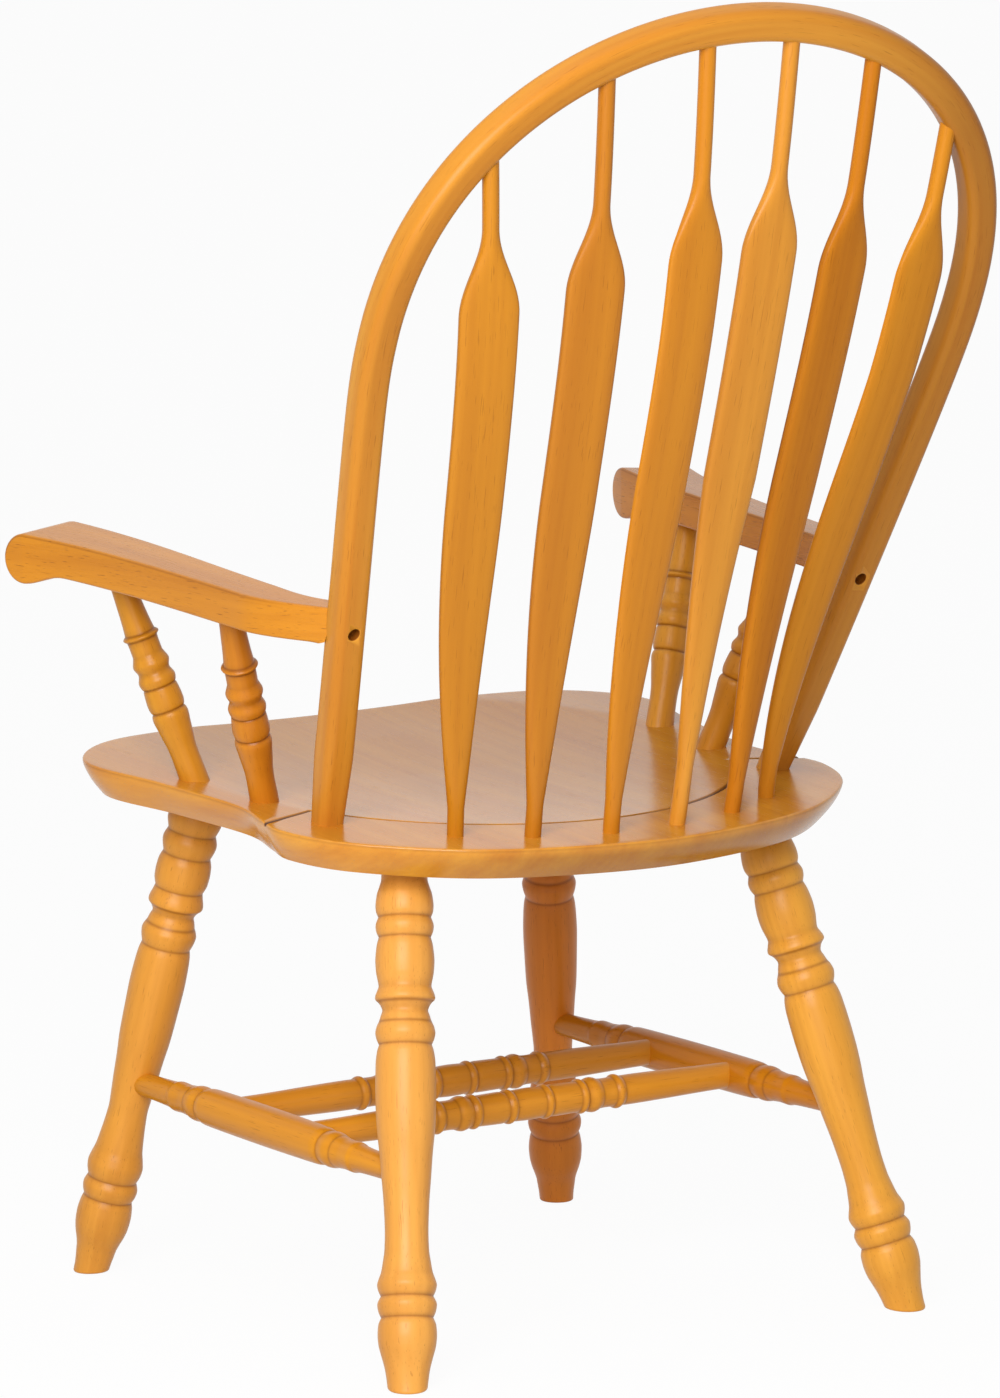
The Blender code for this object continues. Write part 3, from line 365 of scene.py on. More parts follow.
def spun(start, towards, along, radius, sides):
    """Surface of revolution: each radius drawn round the line from one point towards another, with its
    place in the turning square for the grain. The distances may differ from column to column."""
    axis = (towards - start) / np.linalg.norm(towards - start)
    first, second = square_to(axis)
    angle = np.linspace(0, 2 * np.pi, sides, endpoint=False)
    ring = np.cos(angle)[:, None] * first + np.sin(angle)[:, None] * second
    along = np.broadcast_to(np.reshape(along, (len(along), -1)), (len(along), sides))
    radius = np.broadcast_to(np.reshape(radius, (len(radius), -1)), (len(radius), sides))
    rows = start + along[..., None] * axis + radius[..., None] * ring + SEAT_MIDDLE
    return rows, np.stack((radius * np.cos(angle), radius * np.sin(angle), along), axis=-1)


def underside_height(y):
    """Height of the plank's underside."""
    return deck_height(y) - SEAT_THICKNESS / np.cos(SEAT_TILT)


def leg_rows(low, high, forms, sides=64):
    """The turning down from the seat. Its last stretch is drawn out or in to meet the floor on every
    side, and the edge of the toe is eased by a quarter circle."""
    along, radius, dark = turning(forms)
    axis = (low - high) / np.linalg.norm(low - high)
    trim = np.linalg.norm(low - high) - LEG_TOE_FIT
    keep = along < trim
    angle = np.linspace(0, 2 * np.pi, sides, endpoint=False)
    first, second = square_to(axis)
    lift = np.cos(angle) * first[2] + np.sin(angle) * second[2]
    floor = -(high[2] + radius[-1] * lift) / axis[2]
    share = np.concatenate((np.linspace(0, 0.9, 8), 1 - 0.1 * (1 - np.linspace(0, 1, 9)[1:]) ** 2))
    toe = trim + share[:, None] * (floor - trim)
    ease = np.clip(1 - (floor - toe) / LEG_TOE_EASE, 0, 1)
    toe_radius = np.interp(toe, along, radius) - LEG_TOE_EASE * (1 - np.sqrt(1 - ease ** 2))
    level = np.ones((1, sides))
    along = np.concatenate((-LEG_TENON * level, -LEG_TENON * level, along[keep, None] * level, toe,
                            -high[2] / axis[2] * level))
    radius = np.concatenate((0 * level, radius[0] * level, radius[keep, None] * level, toe_radius,
                             0 * level))
    dark = np.concatenate((np.zeros(2), dark[keep], np.zeros(len(toe) + 1)))
    rows, grain = spun(high, low, along, radius, sides)
    return np.maximum(rows, (-np.inf, -np.inf, 0.0)), grain, dark[:, None]


leg_axes = {}
# The front right leg's darker, redder tint is painted shade: it stands in the seat's shadow.
leg_tints = {"front_left": (220, 152, 56), "front_right": (222, 133, 38),
             "rear_left": (226, 160, 72), "rear_right": (231, 164, 60)}
for end, foot, socket, forms in (("front", FRONT_FOOT, FRONT_LEG_SOCKET, FRONT_LEG_TURNING),
                                 ("rear", REAR_FOOT, REAR_LEG_SOCKET, REAR_LEG_TURNING)):
    for side_name, side in SIDES:
        name = f"{end}_{side_name}"
        low = np.array((side * foot[0], foot[1], 0.0))
        high = np.array((side * socket[0], socket[1], underside_height(socket[1])))
        leg_axes[name] = (low, high)
        leg = skin(f"turned_leg_{name}", *leg_rows(low, high, forms))
        fit(leg, f"leg_{name}",
            lacquered_wood(f"leg_lacquer_{name}", leg_tints[name], 2.0 + len(leg_axes), gloss=0.38,
                           polish=0.28, darkening=0.65))


# Stretchers: a turned rail between the legs of each side and two across between those, swelled in the
# middle, with rings, and with round ends that stand in blind sockets. The side rails are set by hand,
# so that their heights differ a little and their rings lie a little to the rear.
STRETCHER_HEIGHT = 0.1700
SIDE_HEIGHTS = {"left": (0.1678, 0.1662), "right": (0.1692, 0.1692)}
STRETCHER_TENON = 0.013
CROSS_FRONT_Y, CROSS_REAR_Y = -0.062, 0.052
SIDE_TURNING = (
    # distance from the middle and diameter, in millimetres
    (0, 33.2), (60, 32.6), (86, 31.8), (91, 30.6), (95, -27.8), (104.5, 30.2), (114, -26.8),
    (118, 26.2), (126, 25.0), (138, 25.8), (144, 23.4), (156, 21.8), (190, 20.2), (240, 19.6))
SIDE_SHIFT = 0.0015
CROSS_TURNING = (
    (0, 27.2), (14.5, -26.2), (18.5, 29.6), (22.5, -25.6), (27, 27.0), (50.5, -26.2), (54.5, 29.6),
    (58.5, -25.4), (66.5, 29.8), (73, -25.6), (79, 24.8), (87, -25.2), (91, 29.2), (96, -25.2),
    (106, 25.4), (140, 24.4), (200, 22.2), (240, 22.2))


def stretcher_rows(start, stop, forms, shift=0.0, sides=48):
    """Half a turning and its mirror image, cut to length, with the middle shifted towards the stop."""
    length = np.linalg.norm(stop - start)
    middle = (start + stop) / 2 + shift * (stop - start) / length
    along, radius, dark = turning(forms)
    before, after = (np.append(along[along < half - 0.0002], half)
                     for half in (length / 2 + shift, length / 2 - shift))
    here = np.concatenate((-before[:0:-1], after))
    radius, dark = (np.interp(np.abs(here), along, values) for values in (radius, dark))
    here = np.concatenate((here[:1], here, here[-1:]))
    radius, dark = (np.concatenate(((0.0,), values, (0.0,))) for values in (radius, dark))
    return *spun(middle, stop, here, radius, sides), dark[:, None]


side_axes = {}
for side_name, side in SIDES:
    ends, nominal = [], []
    for end, height, forms in zip(("front", "rear"), SIDE_HEIGHTS[side_name],
                                  (FRONT_LEG_TURNING, REAR_LEG_TURNING)):
        low, high = leg_axes[f"{end}_{side_name}"]
        point = low + (high - low) * (height / high[2])
        leg_radius = np.interp(np.linalg.norm(high - point), *turning(forms)[:2])
        ends.append((point, leg_radius - STRETCHER_TENON))
        nominal.append(low + (high - low) * (STRETCHER_HEIGHT / high[2]))
    side_axes[side_name] = nominal
    (front, front_trim), (rear, rear_trim) = ends
    run = (rear - front) / np.linalg.norm(rear - front)
    rail = skin(f"turned_side_stretcher_{side_name}",
                *stretcher_rows(front + run * front_trim, rear - run * rear_trim, SIDE_TURNING,
                                SIDE_SHIFT))
    tint = {"left": (217, 145, 30), "right": (202, 127, 20)}[side_name]
    fit(rail, f"side_stretcher_{side_name}",
        lacquered_wood(f"stretcher_lacquer_{side_name}", tint, 8.0 + side, polish=0.20,
                       darkening=0.5))

for cross_name, cross_y in (("front", CROSS_FRONT_Y), ("rear", CROSS_REAR_Y)):
    front, rear = side_axes["left"]
    left = front + (rear - front) * ((cross_y - front[1]) / (rear[1] - front[1]))
    left = left - np.array((SIDE_TURNING[0][1] / 2000 - STRETCHER_TENON, 0.0, 0.0))
    rail = skin(f"turned_cross_stretcher_{cross_name}",
                *stretcher_rows(left * (-1, 1, 1), left, CROSS_TURNING))
    tint = {"front": (210, 140, 42), "rear": (221, 149, 42)}[cross_name]
    fit(rail, f"cross_stretcher_{cross_name}",
        lacquered_wood(f"stretcher_lacquer_{cross_name}", tint, 11.0 + cross_y, polish=0.20,
                       darkening=0.5))


# Bow: one rail steamed and bent from seat to seat, nearly square with rounded edges, raked back and a
# little hollow. Its slimmed ends stand in the seat, and a counterbore behind each arm takes a screw.
BOW_FOOT = (0.2245, 0.0933)
BOW_FOOT_LEAN = 0.173
BOW_FOOT_REACH = 0.365
BOW_HALF_WIDTH = 0.2909
BOW_WIDEST_HEIGHT = 0.8636
BOW_LIMB_REACH = 0.0475
BOW_SHOULDER_REACH = 0.1603
BOW_HEIGHT = 1.104
BOW_CROWN_REACH = 0.1424
BOW_RAKE = np.tan(np.radians(22.15))
BOW_SAG = 0.0042
BOW_WIDTH, BOW_DEPTH, BOW_ROUND = 0.0284, 0.0262, 0.008
BOW_FOOT_SLIM, BOW_FOOT_TAPER, BOW_TENON = 0.004, 0.060, 0.016
BOW_FOOT_HEIGHT = deck_height(BOW_FOOT[1])
BOW_RISE = BOW_HEIGHT - BOW_FOOT_HEIGHT
ARM_TOP, ARM_SLOPE, ARM_THICKNESS = 0.641, 0.0625, 0.0305
COUNTERBORE_DEPTH, COUNTERBORE_WIDTH = 0.008, 0.0106
SCREW_SHIFT = {"left": np.zeros(3), "right": np.array((0.0033, 0.0, 0.0))}


def bezier(a, b, c, d, t):
    """Cubic through a and d that leaves towards b and comes in from c."""
    return a * (1 - t) ** 3 + 3 * b * (1 - t) ** 2 * t + 3 * c * (1 - t) * t ** 2 + d * t ** 3


def bow_y(z):
    """Rake of the bow with a shallow parabola for its hollow."""
    share = (z - BOW_FOOT_HEIGHT) / BOW_RISE
    return BOW_FOOT[1] + BOW_RAKE * share * BOW_RISE + 4 * BOW_SAG * share * (1 - share)


def bow_back(z):
    """Unit direction square to the bow's plane, towards the back."""
    slope = BOW_RAKE + 4 * BOW_SAG / BOW_RISE * (1 - 2 * (z - BOW_FOOT_HEIGHT) / BOW_RISE)
    normal = np.stack((0 * slope, 1 + 0 * slope, -slope), axis=-1)
    return normal / np.linalg.norm(normal, axis=-1, keepdims=True)


def bow_line(t):
    """Middle line of the left half: a limb from 0 to 1 and an arch from 1 to the crown at 2, each one
    cubic in the front view; below 0 the limb runs straight on into the seat by that many metres."""
    t = np.asarray(t, dtype=float)[..., None]
    foot = np.array((BOW_FOOT[0], BOW_FOOT_HEIGHT))
    wide = np.array((BOW_HALF_WIDTH, BOW_WIDEST_HEIGHT))
    crown = np.array((0.0, BOW_HEIGHT))
    lean = np.array((BOW_FOOT_LEAN, 1.0)) / np.hypot(BOW_FOOT_LEAN, 1.0)
    up = np.array((0.0, 1.0))
    limb = bezier(foot, foot + lean * BOW_FOOT_REACH, wide - up * BOW_LIMB_REACH, wide,
                  np.clip(t, 0, 1))
    arch = bezier(wide, wide + up * BOW_SHOULDER_REACH, crown + np.array((BOW_CROWN_REACH, 0.0)), crown,
                  np.clip(t - 1, 0, 1))
    front = np.where(t > 1, arch, limb + lean * np.minimum(t, 0))
    return np.stack((front[..., 0], bow_y(front[..., 1]), front[..., 1]), axis=-1)


def rounded_section(width, depth, rounding, steps=7):
    """Rectangle with quarter-round corners, run round once, for each width and depth of a row."""
    turn = np.radians(np.linspace(0, 90, steps))
    angle = np.concatenate([turn + quarter for quarter in np.radians((0, 90, 180, 270))])
    across = np.repeat((1, -1, -1, 1), steps)
    back = np.repeat((1, 1, -1, -1), steps)
    width, depth = np.reshape(width, (-1, 1)), np.reshape(depth, (-1, 1))
    return (across * (width / 2 - rounding) + rounding * np.cos(angle),
            back * (depth / 2 - rounding) + rounding * np.sin(angle))


def closed_ends(middles, rows, grain, hollow):
    """Rows with each end drawn together to its point on the middle line."""
    caps = np.broadcast_to(middles[[0, -1], None], rows[[0, -1]].shape)
    rows = np.concatenate((caps[:1], rows, caps[1:])) + SEAT_MIDDLE
    return rows, *(np.concatenate((values[:1], values, values[-1:])) for values in (grain, hollow))


def bow_rows():
    """The section carried along the left half and, mirrored, down the right half. Shade is painted
    unevenly along its length: most on the right shoulder, some on the left limb and none at the crown,
    which stands lit from above."""
    t = np.concatenate(((-BOW_TENON,), np.linspace(0, 1, 90), 1 + np.linspace(0, 1, 90)[1:]))
    point = bow_line(t)
    run = bow_line(np.minimum(t + 0.002, 2.0)) - bow_line(t - 0.002)
    run[-1] = (-1.0, 0.0, 0.0)
    back = bow_back(point[:, 2])
    across = np.cross(run, back)
    across = across / np.linalg.norm(across, axis=1, keepdims=True)
    above = point[:, 2] - BOW_FOOT_HEIGHT
    slim = BOW_FOOT_SLIM * np.clip(1 - above / BOW_FOOT_TAPER, 0, 1)
    a, b = rounded_section(BOW_WIDTH - slim, BOW_DEPTH - slim, BOW_ROUND)
    left = point[:, None] + a[..., None] * across[:, None] + b[..., None] * back[:, None]
    length = np.concatenate(((0.0,), np.cumsum(np.linalg.norm(np.diff(point, axis=0), axis=1))))
    right = left[-2::-1] * (-1, 1, 1)
    rows = np.concatenate((left, right))
    middles = np.concatenate((point, point[-2::-1] * (-1, 1, 1)))
    along = np.concatenate((length, 2 * length[-1] - length[-2::-1]))
    a, b = np.concatenate((a, a[-2::-1])), np.concatenate((b, b[-2::-1]))
    grain = np.stack((a, b, along[:, None] + 0 * a), axis=-1)
    # Painted light and shade along the bow: none at the crown, most on the right shoulder.
    shade_along = np.interp(along / along[-1], (0, 0.16, 0.29, 0.40, 0.48, 0.54, 0.65, 0.85, 1),
                      (0.07, 0.08, 0.28, 0.12, 0, 0, 0.54, 0.20, 0.16))
    return closed_ends(middles, rows, grain, shade_along[:, None])


def arm_top(y):
    """Height of an arm's top over its middle line, which falls towards the back."""
    return ARM_TOP - ARM_SLOPE * y


limb = np.linspace(0, 1, 4001)
bow_arm_t = np.interp(arm_top(bow_y(ARM_TOP)) - ARM_THICKNESS / 2, bow_line(limb)[:, 2], limb)
bow_at_arm = bow_line(bow_arm_t)
back_at_arm = bow_back(bow_at_arm[2])
bow_run_at_arm = bow_line(bow_arm_t + 0.01) - bow_line(bow_arm_t - 0.01)
bow_run_at_arm = bow_run_at_arm / np.linalg.norm(bow_run_at_arm)

bow = skin("bent_bow", *bow_rows())
bores = {}
for side_name, side in SIDES:
    mouth = (bow_at_arm + back_at_arm * BOW_DEPTH / 2) * (side, 1, 1) + SCREW_SHIFT[side_name]
    inward = -back_at_arm * (side, 1, 1)
    bores[side_name] = (mouth, inward)
    deep = np.array((-0.010, -0.010, -0.0002, 0.0005, COUNTERBORE_DEPTH, COUNTERBORE_DEPTH))
    hole = COUNTERBORE_WIDTH / 2 * np.array((0.0, 1.32, 1.12, 1.0, 1.0, 0.0))
    # The cutter carries full painted shade into the walls of the hole.
    bore = skin(f"counterbore_{side_name}", *spun(mouth, mouth + inward, deep, hole, 40),
                np.ones((6, 1)))
    knife = bow.modifiers.new(f"counterbore_{side_name}", "BOOLEAN")
    knife.operation = "DIFFERENCE"
    knife.solver = "EXACT"
    knife.object = bore
bored = bpy.data.meshes.new_from_object(bow.evaluated_get(bpy.context.evaluated_depsgraph_get()))
bow.modifiers.clear()
bow.data = bored
spots = np.empty(3 * len(bored.vertices), dtype=np.float32)
bored.vertices.foreach_get("co", spots)
gathers = np.empty(len(bored.vertices), dtype=np.float32)
bored.attributes["hollow"].data.foreach_get("value", gathers)
# Painted shade: the counterbore's walls go near black.
for side_name, (mouth, inward) in bores.items():
    bpy.data.objects.remove(bpy.data.objects[f"counterbore_{side_name}"])
    away = spots.reshape(-1, 3) - (mouth + SEAT_MIDDLE)
    depth = away @ inward
    aside = np.linalg.norm(away - depth[:, None] * inward, axis=1)
    in_hole = (aside < 0.51 * COUNTERBORE_WIDTH) & (depth > 0.0003) & (depth < 1.5 * COUNTERBORE_DEPTH)
    gathers[in_hole] = 1.0
bored.attributes["hollow"].data.foreach_set("value", gathers)
fit(bow, "back_bow",
    lacquered_wood("bow_lacquer", (216, 153, 54), 14.0, deep=(187, 113, 31), polish=0.16,
                   darkening=0.9))


# Spindles: six arrows, each round where it stands in the seat and in the bow, and a flat blade between
# that swells upwards to a shoulder. They fan out, are bent to the sitter's back, and are set by hand,
# so that no two face quite the same way.
SPINDLE_CIRCLE = 0.280
SPINDLE_FAN = np.radians(13.8)
SPINDLE_HEAD_X = (0.0415, 0.132, 0.227)
SPINDLE_SHOULDER = (0.486, 0.472, 0.460)
SPINDLE_END, SPINDLE_TENON = 0.0138, 0.016
SPINDLE_BLADE, SPINDLE_BLADE_FULL = 0.0485, 0.300
SPINDLE_SHOULDER_WIDTH, SPINDLE_SHOULDER_RUN = 0.0505, 0.074
SPINDLE_THICKNESS = 0.011
SPINDLE_BEND = SPINDLE_LUMBAR = 0.008
# The last two set painted shade: against the planed band, and along the edges.
SPINDLE_PLANING, SPINDLE_BAND_SHADE, SPINDLE_EDGE_SHADE = 0.27, 0.378, 0.30
SPINDLE_POLISH = (0.25, 0.25, 0.25, 0.25, 0.10, 0.10)
SPINDLES = (
    # number, place from the middle, side, turn in degrees, foot, head and blade across, belly, stem,
    # power of the swell, lift of the shoulder, left edge planed with painted shade over the rest so
    # that it shows lit or, below 0, painted shade on that edge, painted shade along the right edge,
    # stain
    (1, 2, 1, 14.5, -0.0030, -0.0015, 0.0034, -0.0008, 0.025, 1.65, 0.002, 0.21, 0.0, (203, 135, 28)),
    (2, 1, 1, 10.8, 0.0015, -0.0026, 0.0009, 0.0, 0.028, 1.60, 0.001, 0.21, 0.0, (193, 123, 26)),
    (3, 0, 1, 1.5, 0.0, -0.0036, -0.0052, 0.0026, 0.028, 1.50, 0.003, 1.0, 0.0, (228, 152, 33)),
    (4, 0, -1, 5.0, 0.0018, -0.0038, 0.0024, -0.0020, 0.050, 1.00, 0.006, 0.21, 0.0, (214, 146, 48)),
    (5, 1, -1, -8.1, 0.0, -0.0012, 0.0030, 0.0, 0.028, 1.60, 0.001, -1.8, 0.0, (192, 119, 25)),
    (6, 2, -1, -6.0, 0.0015, -0.0004, -0.0012, 0.0080, 0.025, 1.70, 0.001, 0.75, 0.7, (224, 150, 40)))


def spindle_rows(place, side, turn, step, lead, shift, belly, stem, power, lift, planed, rim):
    """Oval section carried from the seat to the bow: a circle at both ends and a squarer, flat oval in
    the blade, whose width swells by a power law to the shoulder and closes on half a cosine. The back
    of the blade may be planed off towards its left edge, and then shade is painted over the rest so
    that the planed band shows lit; where planed is below 0, shade is painted on that band instead.
    Painted shade also darkens both edges, and rim widens it on the right edge."""
    angle = (place + 0.5) * SPINDLE_FAN
    foot_y = SPINDLE_CENTRE_Y + SPINDLE_CIRCLE * np.cos(angle)
    foot = np.array((SPINDLE_CIRCLE * np.sin(angle), foot_y, deck_height(foot_y)))
    arch = 1 + np.linspace(0, 1, 4001)
    head = bow_line(np.interp(-SPINDLE_HEAD_X[place], -bow_line(arch)[:, 0], arch))
    length = np.linalg.norm(head - foot)
    shoulder = SPINDLE_SHOULDER[place] + lift
    f = np.unique(np.concatenate((
        np.linspace(-SPINDLE_TENON / length, 1, 110),
        (shoulder + SPINDLE_SHOULDER_RUN * np.linspace(-0.1, 1.1, 25)) / length)))

    def middle(f):
        """Straight from foot to head, bent by one sine wave and two, and set over a little by hand."""
        f = f[:, None]
        sway = np.sin(np.pi * np.clip(f, 0, 1))
        bend = SPINDLE_BEND * sway - SPINDLE_LUMBAR * np.sin(2 * np.pi * f)
        point = (foot + (head - foot) * f) * (side, 1, 1)
        low = np.sin(np.pi * np.clip(f / 0.62, 0, 1) ** 0.6)
        over = step * (1 - f) + lead * f + shift * sway + belly * low
        return point + bend * np.array((0.0, 1.0, 0.0)) + over * np.array((1.0, 0.0, 0.0))

    point = middle(f)
    run = middle(f + 0.001) - middle(f - 0.001)
    run = run / np.linalg.norm(run, axis=1, keepdims=True)
    facing = np.radians(turn)
    across = np.array((np.cos(facing), -np.sin(facing), 0.0))
    back = np.cross(across, run)
    back = back / np.linalg.norm(back, axis=1, keepdims=True)
    across = np.cross(run, back)
    up = f * length
    swell = np.clip((up - stem) / (SPINDLE_BLADE_FULL - stem), 0, 1)
    width = SPINDLE_END + (SPINDLE_BLADE - SPINDLE_END) * (1 - (1 - swell) ** power)
    upper = np.clip((up - SPINDLE_BLADE_FULL) / (shoulder - SPINDLE_BLADE_FULL), 0, 1)
    width = width + (SPINDLE_SHOULDER_WIDTH - SPINDLE_BLADE) * upper
    closing = np.clip((up - shoulder) / SPINDLE_SHOULDER_RUN, 0, 1)
    width = SPINDLE_END + (width - SPINDLE_END) * (1 + np.cos(np.pi * closing)) / 2
    flat = np.clip((width - SPINDLE_END) / (SPINDLE_BLADE - SPINDLE_END), 0, 1)
    depth = SPINDLE_END + (SPINDLE_THICKNESS - SPINDLE_END) * flat
    width, depth, flat = width[:, None], depth[:, None], flat[:, None]
    square = 1 / (1 + 0.75 * flat)
    around = np.linspace(0, 2 * np.pi, 44, endpoint=False)
    c, s = np.cos(around), np.sin(around)
    a = width / 2 * np.sign(c) * np.abs(c) ** square
    b = depth / 2 * np.sign(s) * np.abs(s) ** square
    on_back = s > 0
    b = b - SPINDLE_PLANING * max(planed, 0.0) * on_back * flat * np.maximum(0, a - width / 4)
    rows = point[:, None] + a[..., None] * across[:, None] + b[..., None] * back[:, None]
    grain = np.stack((a, b, up[:, None] + 0 * a), axis=-1)
    aside = a / width
    # Painted light and shade: shade over the blade leaves the planed band lit, or falls on that band,
    # and painted shade darkens the edges.
    band = np.clip((aside - 0.20) / 0.07, 0, 1) * on_back * flat
    painted_shade = SPINDLE_BAND_SHADE * np.where(planed > 0, planed * (1 - band), -planed * band)
    painted_shade = np.maximum(painted_shade, rim * flat * np.clip((-aside - 0.38) / 0.08, 0, 1))
    edge = np.clip((np.abs(aside) - 0.45) / 0.04, 0, 1)
    painted_shade = np.maximum(painted_shade, SPINDLE_EDGE_SHADE * flat * edge)
    return closed_ends(point, rows, grain, painted_shade)


for number, place, side, *setting, tint in SPINDLES:
    spindle = skin(f"arrow_spindle_{number}", *spindle_rows(place, side, *setting))
    fit(spindle, f"spindle_{number}",
        lacquered_wood(f"spindle_lacquer_{number}", tint, 15.0 + number,
                       deep=np.array(tint) * (0.88, 0.82, 0.70), gloss=0.34,
                       polish=SPINDLE_POLISH[number - 1], darkening=0.9))


# Arms: sawn from a thick board, with a rounded scroll at the front in the side view and a blade in plan
# that narrows to the back, where its end butts against the front of the bow. The edges are eased.
ARM_MIDDLE_X, ARM_LEAN, ARM_TUCK_Y = 0.2855, 0.04, 0.080
ARM_FLARE, ARM_FLARE_LENGTH = 0.0155, 0.200
ARM_TILT = 0.056
ARM_FRONT_WIDTH, ARM_BODY_WIDTH, ARM_END_WIDTH = 0.066, 0.041, 0.029
ARM_ARRIS = 0.0026
ARM_END_RUN, ARM_INNER_COPE = 0.080, 0.45
SCROLLS = {1: (-0.1993, 0.0209), -1: (-0.1941, 0.0221)}
SCROLL_RELIEF = 0.047
CLEARANCE = 0.0003
arm_seat = bow_at_arm - back_at_arm * (BOW_DEPTH / 2 + CLEARANCE)


def arm_x(y):
    """Middle line of the left arm in plan: a straight lean, a cubic flare in front and a parabola in to
    the bow behind."""
    x = ARM_MIDDLE_X - ARM_LEAN * y + ARM_FLARE * np.maximum(0, -y / ARM_FLARE_LENGTH) ** 3
    tuck = ARM_MIDDLE_X - ARM_LEAN * arm_seat[1] - arm_seat[0]
    return x - tuck * (np.maximum(0, y - ARM_TUCK_Y) / (arm_seat[1] - ARM_TUCK_Y)) ** 2


def arm_width(y, scroll_y):
    """Width in plan: a power law up to the scroll and half a cosine down to the bow."""
    front = np.clip((ARM_TUCK_Y - y) / (ARM_TUCK_Y - scroll_y), 0, 1)
    rear = np.clip((y - ARM_TUCK_Y) / (arm_seat[1] - ARM_TUCK_Y), 0, 1)
    return (ARM_BODY_WIDTH + (ARM_FRONT_WIDTH - ARM_BODY_WIDTH) * front ** 1.6
            + (ARM_END_WIDTH - ARM_BODY_WIDTH) * (1 - np.cos(np.pi * rear)) / 2)


def arm_underside(y, scroll_y, scroll_radius):
    """Height of the arm's underside: level under the scroll, then eased up on half a cosine."""
    rise = (1 - np.cos(np.pi * np.clip((y - scroll_y) / SCROLL_RELIEF, 0, 1))) / 2
    scroll = arm_top(scroll_y) - 2 * scroll_radius
    return scroll + (arm_top(y) - ARM_THICKNESS - scroll) * rise


def arm_side_view(scroll_y, scroll_radius):
    """Loop round the side view: forward along the underside, round the scroll, back along the top and
    down the rear end. Each point has its place, the height halfway up, the direction in, and whether it
    lies on the rear end."""
    y = scroll_y + (arm_seat[1] - scroll_y) * np.linspace(0, 1, 90) ** 1.15
    bend = np.radians(np.linspace(-90, 90, 41))[1:-1]
    centre = arm_top(scroll_y) - scroll_radius
    under, over = arm_underside(y, scroll_y, scroll_radius), arm_top(y)
    face = np.linspace(0, 1, 7)[1:-1]
    loop_y = np.concatenate((y[::-1], scroll_y - scroll_radius * np.cos(bend), y, y[-1] + 0 * face))
    loop_z = np.concatenate((under[::-1], centre + scroll_radius * np.sin(bend), over,
                             over[-1] + (under[-1] - over[-1]) * face))
    half_up = np.concatenate(((under + over)[::-1] / 2, centre + 0 * bend, (under + over) / 2,
                              (under[-1] + over[-1]) / 2 + 0 * face))
    step_y = np.roll(loop_y, -1) - np.roll(loop_y, 1)
    step_z = np.roll(loop_z, -1) - np.roll(loop_z, 1)
    step = np.hypot(step_y, step_z)
    at_rear = np.arange(len(loop_y)) >= len(loop_y) - len(face) - 1
    at_rear[0] = True
    return loop_y, loop_z, half_up, step_z / step, -step_y / step, at_rear


